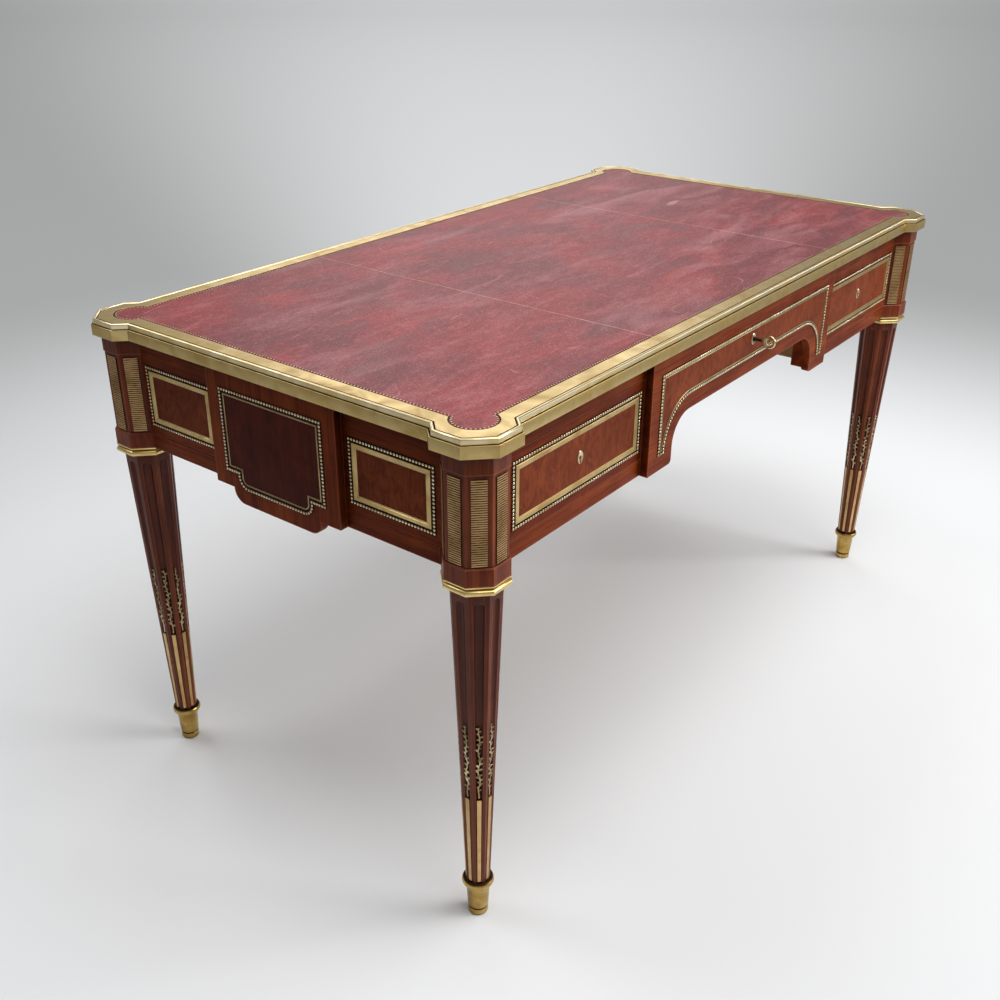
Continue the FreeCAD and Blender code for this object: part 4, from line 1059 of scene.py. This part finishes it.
        rings = []
        for share in (step / self.stem_steps for step in range(self.stem_steps + 1)):
            x, y, height = stem(share)
            spots = circle(self.stem_sides, self.stem_radius - self.stem_taper * share)
            rings.append(raised(spots, height, (x, y)))
        self.garlands.tube(place, rings)
        for number in range(self.leaf_count):
            gone = number / (self.leaf_count - 1)
            share = self.leaf_start + (self.leaf_end - self.leaf_start) * gone
            size = (1 - self.leaf_shrink * share) * self.dice.uniform(*self.leaf_sizes)
            lean = math.radians(self.dice.uniform(*self.leaf_lean)) * (-1) ** number
            sine, cosine = math.sin(lean), math.cos(lean)
            axes = Matrix(((1, 0, 0), (0, sine, cosine), (0, cosine, -sine))).to_4x4()
            self.leaf(place @ Matrix.Translation(stem(share)) @ axes, size)
        buds = [(stem(1.0), self.tip_bud)]
        for share in self.flower_shares:
            shift = self.dice.uniform(-self.flower_shift, self.flower_shift)
            eye = stem(share + shift) + Vector((self.flower_out, 0, 0))
            buds.append((eye, self.flower_eye))
            for y, z in circle(self.petal_count, self.petal_reach, phase):
                buds.append((eye + Vector((-self.petal_sunk, y, z)), self.petal_radius))
        for middle, radius in buds:
            self.bud(place @ Matrix.Translation(middle), radius)

    def shaft_half(self, height: float) -> float:
        """Half the shaft's width across its flats.

        Args:
            height: Where along the shaft.

        Returns:
            The half width.
        """
        foot, top = box("leg_front_left")[0].z, box("leg_rings")[1].z
        share = (height - foot) / (top - foot)
        return (self.foot_width + (self.shaft_top_width - self.foot_width) * share) / 2

    def build(self) -> None:
        """Builds both kinds of mount for all four legs."""
        foot = box("flute_strips")[1].z + self.garland_gap
        near, far = self.shaft_half(foot), self.shaft_half(foot + self.garland_length)
        lean = Matrix.Rotation(math.atan2(far - near, self.garland_length), 4, "Y")
        flute = Matrix.Translation((near - self.garland_sunk, 0, foot)) @ lean
        head = Matrix.Translation((self.head_width / 2, 0, box("ribbed_plaques")[0].z))
        for centre in leg_centres():
            stand = Matrix.Translation(centre)
            outward = math.degrees(math.atan2(centre.y, centre.x))
            corner = round(outward / 90 - 0.5) * 90 + 45
            for turn in self.plaque_turns:
                self.plaque(stand @ Matrix.Rotation(math.radians(corner + turn), 4, "Z") @ head)
            for face in range(self.flutes):
                self.garland(stand @ Matrix.Rotation(2 * math.pi * face / self.flutes, 4, "Z") @ flute)
        piece = self.plaques.build("reeded_plaques", "table", "brass", PLAQUE_BRASS, GROOVE_BRASS)
        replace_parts(piece, "ribbed_plaques")
        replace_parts(self.garlands.build("leaf_garlands", "table", "brass", GARLAND_BRASS), "flute_garlands")


@dataclass
class LegRings:
    """Cast rings under the collars of the legs: a bold round, and a hollow up to a fillet."""

    sides: int = 8
    width: float = 86
    hole: float = 66.4
    round_radius: float = 4.3
    round_steps: int = 12
    fillet_inset: float = 1.3
    fillet_height: float = 1.2
    quirk_inset: float = 4.4
    quirk_start: float = 0.2
    quirk_end: float = 0.8
    hollow_shares: tuple[float, ...] = (0.25, 0.5, 0.75, 1)

    def build(self) -> None:
        """Builds the four rings as one piece."""
        low, high = box("leg_rings")
        tall, radius = high.z - low.z, self.round_radius
        bold = [(radius - x, y) for x, y in arc((0, radius), radius, -90, 90, self.round_steps)]
        quirk = [(self.quirk_inset, 2 * radius + gap) for gap in (self.quirk_start, self.quirk_end)]
        foot, depth = quirk[-1][1], self.quirk_inset - self.fillet_inset
        rise = tall - self.fillet_height - foot
        hollow = [(self.fillet_inset + depth * (1 - s) ** 2, foot + rise * s) for s in self.hollow_shares]
        inner = (self.width - self.hole) / 2
        section = bold + quirk + hollow + [(self.fillet_inset, tall), (inner, tall), (inner, 0)]
        half_turn = math.pi / self.sides
        octagon = circle(self.sides, self.width / 2 / math.cos(half_turn), half_turn)
        maker = MeshMaker()
        for centre in leg_centres():
            loop = [(centre.x + x, centre.y + y) for x, y in octagon]
            # The quirk above the round takes the near-black quirk finish: black wax and painted shade
            maker.sweep(Side.TOP.face(low.z), loop, section, edges={len(bold): 1})
        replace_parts(maker.build("cast_leg_rings", "table", "brass", RING_BRASS, QUIRK_WAX_AND_SHADE_BRASS), "leg_rings")


# Edge of the top, feet and key


@dataclass
class EdgeMoulding:
    """The brass moulding round the top: a fascia, and a round bead between two quirks."""

    cant: float = 32
    edge: float = 46
    step: float = 16
    wall: float = 5
    width: float = 9
    board: float = 20.4
    fascia: float = 16
    quirk_floor: float = 14.6
    quirk_start: float = 1.6
    inner_floor: float = 20.6
    bead_start: float = 2.9
    bead_radius: float = 2.4
    bead_foot: float = 0.5
    bead_steps: int = 10
    arris: Section = ((0, -0.8), (0.25, -0.25), (0.8, 0))
    lip: float = 0.2

    def outline(self) -> Loop:
        """The top's outer edge with its stepped and canted corners.

        Returns:
            An anticlockwise outline.
        """
        x, y, _ = box("edge_moulding_corners")[1]
        reach = self.cant + self.edge
        quarter = [
            (x - self.step, y - reach - self.step), (x, y - reach), (x, y - self.cant),
            (x - self.cant, y), (x - reach, y), (x - reach - self.step, y - self.step)]
        upper = mirrored(quarter)
        return anticlockwise(upper + [(-x, -y) for x, y in upper])

    def build(self) -> None:
        """Builds the moulding in one run round the top."""
        low, high = box("edge_moulding_corners")
        centre = (self.bead_start + self.bead_radius, high.z - low.z - self.bead_radius)
        bead = arc(centre, self.bead_radius, 180, 0, self.bead_steps)
        fascia, start, floor = self.fascia, self.quirk_start, self.quirk_floor
        foot = [(0, 0), *((x, fascia + y) for x, y in self.arris), (start - self.lip, fascia)]
        quirk = [(start, fascia - self.lip), (start, floor), (self.bead_start, floor)]
        quirk.append((self.bead_start, fascia + self.bead_foot))
        inner = [(bead[-1][0], self.inner_floor), (self.width, self.inner_floor)]
        flange = [(self.width, self.board), (self.wall, self.board), (self.wall, 0)]
        section = foot + quirk + bead + inner + flange
        first, second = len(foot), len(foot) + len(quirk) + len(bead) - 1
        coats = {edge: 2 for edge in range(first + len(quirk) - 1, second)}
        # The quirks take the near-black quirk finish: black wax and painted shade
        coats |= {edge: 1 for edge in (first, first + 1, first + 2, second, second + 1)}
        maker = MeshMaker()
        maker.sweep(Side.TOP.face(low.z), self.outline(), section, edges=coats)
        finishes = (FASCIA_BRASS, QUIRK_WAX_AND_SHADE_BRASS, EDGE_BEAD_BRASS)
        piece = maker.build("brass_edge_moulding", "table", "brass", *finishes)
        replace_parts(piece, "edge_moulding_lengths", "edge_moulding_corners")


@dataclass
class Sabots:
    """Turned brass feet: a toe, a groove, a tapered cup, and a ring about the end of the leg."""

    sides: int = 44
    toe: Section = (
        (0, 0), (12.2, 0), (13.6, 0.5), (14.1, 1.8), (14.1, 9.4), (13.5, 10.3), (12.0, 10.7), (12.0, 12.3),
        (14.0, 12.8), (14.6, 13.6), (15.0, 20), (16.9, 51.4), (17.3, 52.6), (18.4, 53.2))
    groove: tuple[int, ...] = (5, 6, 7)
    ring_centre: Point = (16.24, 59.6)
    ring_radius: float = 6.6
    ring_turns: Point = (-68, 70)
    ring_steps: int = 14
    ring_bright: int = 11
    socket_radius: float = 17.9
    socket_floor: float = 54

    def build(self) -> None:
        """Turns the four sabots."""
        ring = arc(self.ring_centre, self.ring_radius, *self.ring_turns, self.ring_steps)
        radius, floor = self.socket_radius, self.socket_floor
        section = [*self.toe, *ring, (radius, ring[-1][1]), (radius, floor), (0, floor)]
        lip = range(len(self.toe) + self.ring_bright, len(section) - 1)
        # The groove and the inside of the cup take the near-black quirk finish: black wax and painted shade
        wax_and_shade_gaps = {gap: 1 for gap in (*self.groove, *lip)}
        rings = [raised(circle(self.sides, radius), height) for radius, height in section]
        for corner, centre in zip(CORNERS, leg_centres()):
            maker = MeshMaker()
            maker.tube(Matrix.Translation(centre), rings, gaps=wax_and_shade_gaps)
            piece = maker.build(f"turned_sabot_{corner}", "table", "brass", TURNED_BRASS, QUIRK_WAX_AND_SHADE_BRASS)
            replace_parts(piece, f"sabot_{corner}")


@dataclass
class KeyBow:
    """A moulded rim inside the ring of the key."""

    radius: float = 5.7
    wire: float = 1.0
    bow_reach: float = 10.5
    sides: int = 8
    steps: int = 32

    def build(self) -> None:
        """Bends the rim's wire into the bow."""
        low, high = box("key")
        centre = Matrix.Translation((0, low.y + self.bow_reach, high.z - self.bow_reach))
        wire = [(self.radius + out, x) for out, x in circle(self.sides, self.wire)]
        rings = [[(x, y * reach, z * reach) for reach, x in wire] for y, z in circle(self.steps, 1)]
        maker = MeshMaker()
        maker.tube(centre, rings, looped=True)
        maker.build("key_bow_rim", "key", "brass", BEAD_BRASS)


# Leather lining of the top


@dataclass
class LeatherTop:
    """Three panels of leather with rolled rims, and a tooled border round them."""

    panels: tuple[str, ...] = ("left", "centre", "right")
    lobe_radius: float = 30.8
    lobe_x: float = 642
    lobe_y: float = 314.5
    lobe_steps: int = 26
    rim: float = 1.8
    rim_shares: tuple[float, ...] = (0, 0.35, 1)
    rim_drop: float = 0.8
    waviness: float = 0.12
    swells: tuple[float, ...] = (37, 29, 61, 83)
    swell_bend: float = 1.3
    calm: float = 20
    grid: float = 9
    grid_margin: float = 5.4
    step: float = 5
    tick_pitch: float = 2.7
    tick_inset: float = 3.6
    tick_length: float = 3.0
    tick_width: float = 1.7
    tick_half: Section = ((1, 0), (0.6, 0.8), (0, 1), (-0.6, 0.8))
    tick_section: Section = ((1, -0.5), (1, 0.06), (0.55, 0.28))
    tick_clear: float = 4.6
    seam_width: float = 1.7
    seam_crest: float = 0.4
    seam_waves: Section = ((0.35, 23), (0.2, 7.3))
    seam_rise: float = 0.12
    seam_foot: float = 0.02
    seam_sunk: float = 0.4
    seam_margin: float = 0.5
    seam_steps: int = 60

    @property
    def edge(self) -> float:
        """Where the straight edges along the table lie, to front and back."""
        return box("leather_centre")[1].y

    def outline(self, node: str) -> Loop:
        """The outline of a panel: a rectangle, with a round lobe on each outer corner.

        Args:
            node: CAD node of the panel.

        Returns:
            An anticlockwise outline, with points a step apart.
        """
        low, high = box(node)
        dip = math.degrees(math.asin((self.edge - self.lobe_y) / self.lobe_radius))
        lobe = arc((self.lobe_x, self.lobe_y), self.lobe_radius, -90 + dip, 180 - dip, self.lobe_steps)
        spots: Loop = []
        for sign_x, sign_y in ((1, 1), (-1, 1), (-1, -1), (1, -1)):
            end = high.x if sign_x > 0 else -low.x
            turn = lobe if end > self.lobe_x else [(end, self.edge)]
            spots += [(sign_x * x, sign_y * y) for x, y in turn[::sign_x * sign_y]]
        full: Loop = []
        for here, after in zip(spots, spots[1:] + spots[:1]):
            pieces = max(1, round(math.dist(here, after) / self.step))
            way = ((after[0] - here[0]) / pieces, (after[1] - here[1]) / pieces)
            full += [(here[0] + way[0] * i, here[1] + way[1] * i) for i in range(pieces)]
        return full

    def depth(self, x: float, y: float) -> float:
        """How far inside the rim of the whole lining a place lies; negative outside.

        Args:
            x: Place along the table.
            y: Place across it.

        Returns:
            The depth.
        """
        x, y = abs(x), abs(y)
        straight = min(self.lobe_x + self.edge - self.lobe_y - x, self.edge - y)
        return max(straight, self.lobe_radius - math.hypot(x - self.lobe_x, y - self.lobe_y))

    def spots(self, node: str, border: Loop) -> Loop:
        """Places to span a panel's upper side between: its border, its rolled rim, and a grid inside them.

        Args:
            node: CAD node of the panel.
            border: The panel's outline.

        Returns:
            The places, the border's first.
        """
        low, high = box(node)
        found = [spot for share in self.rim_shares for spot in inset(border, self.rim * share)]
        columns, rows = (
            [k * self.grid for k in range(math.ceil(start / self.grid), int(end / self.grid) + 1)]
            for start, end in ((low.x, high.x), (low.y, high.y)))
        for x in columns:
            clear = min(x - low.x, high.x - x)
            found += [(x, y) for y in rows if min(self.depth(x, y), clear) > self.grid_margin]
        return found

    def panel(self, place: str) -> None:
        """Builds one panel in place of its CAD solid: a wavy upper side, a cut edge, a flat underside.

        Args:
            place: Which panel it is.
        """
        node = f"leather_{place}"
        low, high = box(node)
        border = self.outline(node)
        count = len(border)
        flat = [Vector(spot) for spot in self.spots(node, border)]
        spots, _, triangles, sources, *_ = delaunay_2d_cdt(flat, [], [list(range(count))], 1, 1e-5)
        long, cross, bent, slanted = self.swells
        points, edged = [], []
        for x, y in spots:
            deep = max(0.0, self.depth(x, y))
            edged.append(deep < self.rim + 0.01)
            roll = max(0.0, 1 - deep / self.rim) ** 2 * self.rim_drop
            along = math.sin(x / long + self.swell_bend * math.sin(y / bent))
            swell = along * math.sin(y / cross + x / slanted)
            drop = self.waviness * (1 + swell) * min(1.0, deep / self.calm)
            points.append(Vector((x, y, high.z - roll - drop)))
        # Faces on the rolled rim take the near-black rim finish: black wax and painted shade against the
        # brass
        coats = [int(all(edged[i] for i in face)) for face in triangles]
        first = len(points)
        upper = {source: i for i, ids in enumerate(sources) for source in ids if source < count}
        points += [Vector((*spots[upper[k]], low.z)) for k in range(count)]
        faces = [tuple(face) for face in triangles]
        for k in range(count):
            ahead = (k + 1) % count
            faces.append((upper[k], first + k, first + ahead, upper[ahead]))
        faces.append(tuple(range(first, first + count)))
        maker = MeshMaker()
        maker.add(points, faces, coats + [0] * (count + 1))
        piece = maker.build(f"calf_panel_{place}", "table", "leather", LEATHER, RIM_LEATHER, sharp=60)
        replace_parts(piece, node)

    def tooling(self) -> None:
        """A row of short stamped ticks round the rim of the whole lining, every other one rubbed dark."""
        along, across = self.tick_width / 2, self.tick_length / 2
        half = [(along * x, across * y) for x, y in self.tick_half]
        loop = half + [(-x, -y) for x, y in half]
        tick = [[(x * share, y * share, height) for x, y in loop] for share, height in self.tick_section]
        maker = MeshMaker()
        nodes = [f"leather_{place}" for place in self.panels]
        seams = sorted({round(corner.x, 1) for node in nodes for corner in box(node)})[1:-1]
        for node in nodes:
            top = box(node)[1].z
            border = inset(self.outline(node), self.tick_inset)
            for number, ((x, y), turn) in enumerate(spaced(border, self.tick_pitch)):
                if min(abs(x - seam) for seam in seams) >= self.tick_clear:
                    place = Matrix.Translation((x, y, top)) @ Matrix.Rotation(turn, 4, "Z")
                    maker.tube(place, tick, number % 2)
        maker.build("leather_tooled_border", "table", "leather", TOOLED_GILT, RIM_LEATHER)

    def seams(self) -> None:
        """The rubbed pale ridges where the panels meet."""
        maker = MeshMaker()
        low, high = box("leather_centre")
        half, crest = self.seam_width / 2, self.seam_width / 2 * self.seam_crest
        side = [(half, -self.seam_sunk), (half, self.seam_foot), (crest, self.seam_rise)]
        ridge = [(-x, up) for x, up in side] + side[::-1]
        (slow, slow_length), (quick, quick_length) = self.seam_waves
        start, length = low.y + self.seam_margin, high.y - low.y - 2 * self.seam_margin
        for middle in (low.x, high.x):
            rings = []
            for y in (start + length * step / self.seam_steps for step in range(self.seam_steps + 1)):
                sway = slow * math.sin(y / slow_length + middle) + quick * math.sin(y / quick_length)
                rings.append([(middle + sway + across, y, up) for across, up in ridge])
            maker.tube(Side.TOP.face(high.z), rings)
        maker.build("leather_seam_ridges", "table", "leather", SEAM_LEATHER)

    def build(self) -> None:
        """Builds the panels, their border and their seams."""
        for place in self.panels:
            self.panel(place)
        self.tooling()
        self.seams()


# Key plates


@dataclass
class KeyPlates:
    """Cast oval plates round the keyholes, with a raised rim."""

    hole_radius: float = 2.8
    slot_half: float = 1.3
    slot_top: float = 2.45
    slot_depth: float = 8.6
    sides: int = 40
    section: Section = (
        (1, 0), (1, 0.35), (0.9, 0.85), (0.78, 1), (0.62, 0.9), (0.5, 0.5), (0, 0.45), (0, 0))

    def keyhole(self, way: Vector) -> Vector:
        """The keyhole's edge in one direction from its middle.

        Args:
            way: The direction, across and up.

        Returns:
            The place on the edge.
        """
        reach = self.hole_radius
        if way.y < 0 and abs(way.x / way.y) < self.slot_half / self.slot_top:
            reach = min(self.slot_depth / -way.y, self.slot_half / max(abs(way.x), 1e-6))
        return way * reach

    def build(self) -> None:
        """Builds the three plates, each in place of its CAD solid."""
        for drawer in ("left_drawer", "centre_drawer", "right_drawer"):
            low, high = box(f"{drawer}_escutcheon")
            middle, half = (low + high) / 2, (high - low) / 2
            rings = [[] for _ in self.section]
            for way in map(Vector, circle(self.sides, 1, math.pi / self.sides)):
                hole, rim = self.keyhole(way), way / math.hypot(way.x / half.x, way.y / half.z)
                for ring, (share, height) in zip(rings, self.section):
                    x, z = hole.lerp(rim, share)
                    ring.append((middle.x + x, middle.z + z, 2 * half.y * height))
            maker = MeshMaker()
            maker.tube(Side.FRONT.face(-high.y), rings, looped=True)
            piece = maker.build(f"{drawer}_key_plate", drawer, "brass", RELIEF_BRASS)
            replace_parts(piece, f"{drawer}_escutcheon")


# CAD nodes that keep their own shape


@dataclass
class Joinery:
    """The solids that show as they are, with eased edges and their real finishes."""

    wood_ease: float = 1.0
    brass_ease: float = 0.35
    ease_angle: float = 40
    weld: float = 0.005
    bow_depth: float = 21.5

    def finishes(self) -> dict[str, Finish]:
        """The finish of every CAD node that is shown.

        Returns:
            Finishes by node.
        """
        long, cross, upright = MAHOGANY.values()
        nodes = {
            long: [
                "top_board", "front_upper_rail", "back_upper_rail", "front_lower_rails", "back_lower_rails",
                "back_side_panels", "back_centre_panel", *of_drawers("front")],
            cross: ["end_board_left", "end_board_right", "end_lower_rails"],
            upright: ["end_panel_left", "end_panel_right"],
            LEG_MAHOGANY: [f"leg_{corner}" for corner in CORNERS],
            OAK[Grain.LENGTHWISE]: ["back_centre_board", *of_drawers("bottom")],
            OAK[Grain.CROSSWISE]: [
                "divider_left", "divider_right", "drawer_runners", "drawer_kickers", *of_drawers("walls")],
            SATIN_BRASS: ["brass_band"],
            STRIP_BRASS: ["flute_strips"],
            KEY_BRASS: ["key"],
            STEEL: of_drawers("lock_case") + of_drawers("lock_bolt"),
        }
        return {node: finish for finish, names in nodes.items() for node in names}

    def ease(self, node: Object, width: float) -> None:
        """Rounds a node's sharp edges a little, as hand finishing does.

        Args:
            node: The CAD node's object.
            width: Width of the rounding.
        """
        weld = node.modifiers.new("joined_corners", "WELD")
        weld.merge_threshold = self.weld * MM
        round_off = node.modifiers.new("eased_edges", "BEVEL")
        round_off.width = width * MM
        round_off.segments = 2
        round_off.limit_method = "ANGLE"
        round_off.angle_limit = math.radians(self.ease_angle)
        round_off.harden_normals = True

    def darken_shank(self) -> None:
        """Gives the key's shank, behind its bow, the dark finish of browned steel, which also stands in for
        its shade.
        """
        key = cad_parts["key"].data
        key.materials.append(DARK_SHANK_STEEL_AND_SHADE.make())
        edge = (box("key")[0].y + self.bow_depth) * MM
        key.polygons.foreach_set("material_index", [int(face.center.y > edge) for face in key.polygons])

    def build(self) -> None:
        """Finishes every node, and eases the edges of the flat-sided ones."""
        for name, finish in self.finishes().items():
            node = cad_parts[name]
            node.data.materials.clear()
            node.data.materials.append(finish.make())
            if finish is LEG_MAHOGANY or finish in MAHOGANY.values():
                self.ease(node, self.wood_ease)
            elif finish in (SATIN_BRASS, STRIP_BRASS):
                self.ease(node, self.brass_ease)
            LOG.info("finished %s in %s", name, finish.name)
        self.darken_shank()


# Studio


@dataclass(frozen=True)
class SoftBox:
    """A soft lamp: where it hangs, what it points at, its width and height, and its power in watts."""

    name: str
    spot: Point3
    aim: Point3
    size: Point
    watts: float

    def hang(self) -> None:
        """Hangs the lamp."""
        data = bpy.data.lights.new(self.name, "AREA")
        data.shape = "RECTANGLE"
        data.size, data.size_y = (side * MM for side in self.size)
        data.energy = self.watts
        lamp = put(self.name, data)
        lamp.location = Vector(self.spot) * MM
        lamp.rotation_euler = (Vector(self.aim) - Vector(self.spot)).to_track_quat("-Z", "Y").to_euler()


@dataclass
class Studio:
    """A paper floor, soft lamps, and the camera where the photographer stood."""

    eye: Point3 = (-1595.6, -1088.0, 1287.0)
    azimuth: float = 52.353
    elevation: float = 27.165
    roll: float = 0.258
    focal_pixels: float = 1158.7
    frame_pixels: float = 1000
    sensor: float = 36
    view_end: float = 100000
    paper_flat: float = 20000
    paper_margin: float = 500
    paper_bend: float = 15000
    paper_steps: int = 16
    paper_sides: int = 96
    world_colour: str = "#f4f6fa"
    world_strength: float = 0.19
    lamps: tuple[SoftBox, ...] = (
        SoftBox("overhead_box", (300, -1400, 4200), (0, 0, 300), (4000, 3000), 150),
        SoftBox("front_box", (2200, -3600, 2400), (100, 0, 500), (2000, 1800), 105),
        SoftBox("fill_box", (-1000, 2000, 3600), (-1300, 400, 0), (2000, 2000), 48),
        SoftBox("back_box", (3000, 2700, 2700), (0, 0, 600), (2600, 1800), 30),
    )

    def camera(self) -> None:
        """Stands the camera in the photographer's place."""
        data = bpy.data.cameras.new("camera")
        data.sensor_width = self.sensor
        data.lens = self.focal_pixels / self.frame_pixels * self.sensor
        data.clip_end = self.view_end * MM
        stand = Matrix.Translation(Vector(self.eye) * MM)
        for degrees, axis in ((-self.azimuth, "Z"), (90 - self.elevation, "X"), (self.roll, "Z")):
            stand @= Matrix.Rotation(math.radians(degrees), 4, axis)
        camera = put("camera", data)
        camera.matrix_world = stand
        bpy.context.scene.camera = camera

    def paper(self) -> None:
        """Lays the paper: flat round the table, and bent up far from it all round, so that no edge shows."""
        bend = [(self.paper_flat - self.paper_margin, 0)]
        bend += arc((self.paper_flat, self.paper_bend), self.paper_bend, -90, 0, self.paper_steps)
        sides = self.paper_sides
        points = [(x * MM, y * MM, z * MM) for radius, z in bend for x, y in circle(sides, radius)]
        faces = [tuple(range(sides))]
        for start in range(0, len(points) - sides, sides):
            for i in range(sides):
                low, ahead = start + i, start + (i + 1) % sides
                faces.append((low, low + sides, ahead + sides, ahead))
        mesh = bpy.data.meshes.new("paper_floor")
        mesh.from_pydata(points, [], faces)
        mesh.shade_smooth()
        mesh.materials.append(PAPER.make())
        put("paper_floor", mesh)

    def build(self) -> None:
        """Lays the floor, lights it and sets the camera up."""
        self.paper()
        world = bpy.data.worlds.new("soft_studio")
        world.use_nodes = True
        sky = world.node_tree.nodes["Background"]
        sky.inputs["Color"].default_value = linear(self.world_colour)
        sky.inputs["Strength"].default_value = self.world_strength
        bpy.context.scene.world = world
        for lamp in self.lamps:
            lamp.hang()
        self.camera()
        bpy.context.scene.view_settings.view_transform = "Standard"


def main() -> None:
    """Dresses the table piece by piece and stands it in the studio."""
    logging.basicConfig(level=logging.INFO, format="%(name)s: %(message)s")
    parts = (
        Joinery(), FaceTrim(), LegMounts(), LegRings(), EdgeMoulding(), Sabots(), KeyBow(), LeatherTop(),
        KeyPlates(), Studio())
    for part in parts:
        part.build()
        LOG.info("%s is done", type(part).__name__)


if __name__ == "__main__":
    main()
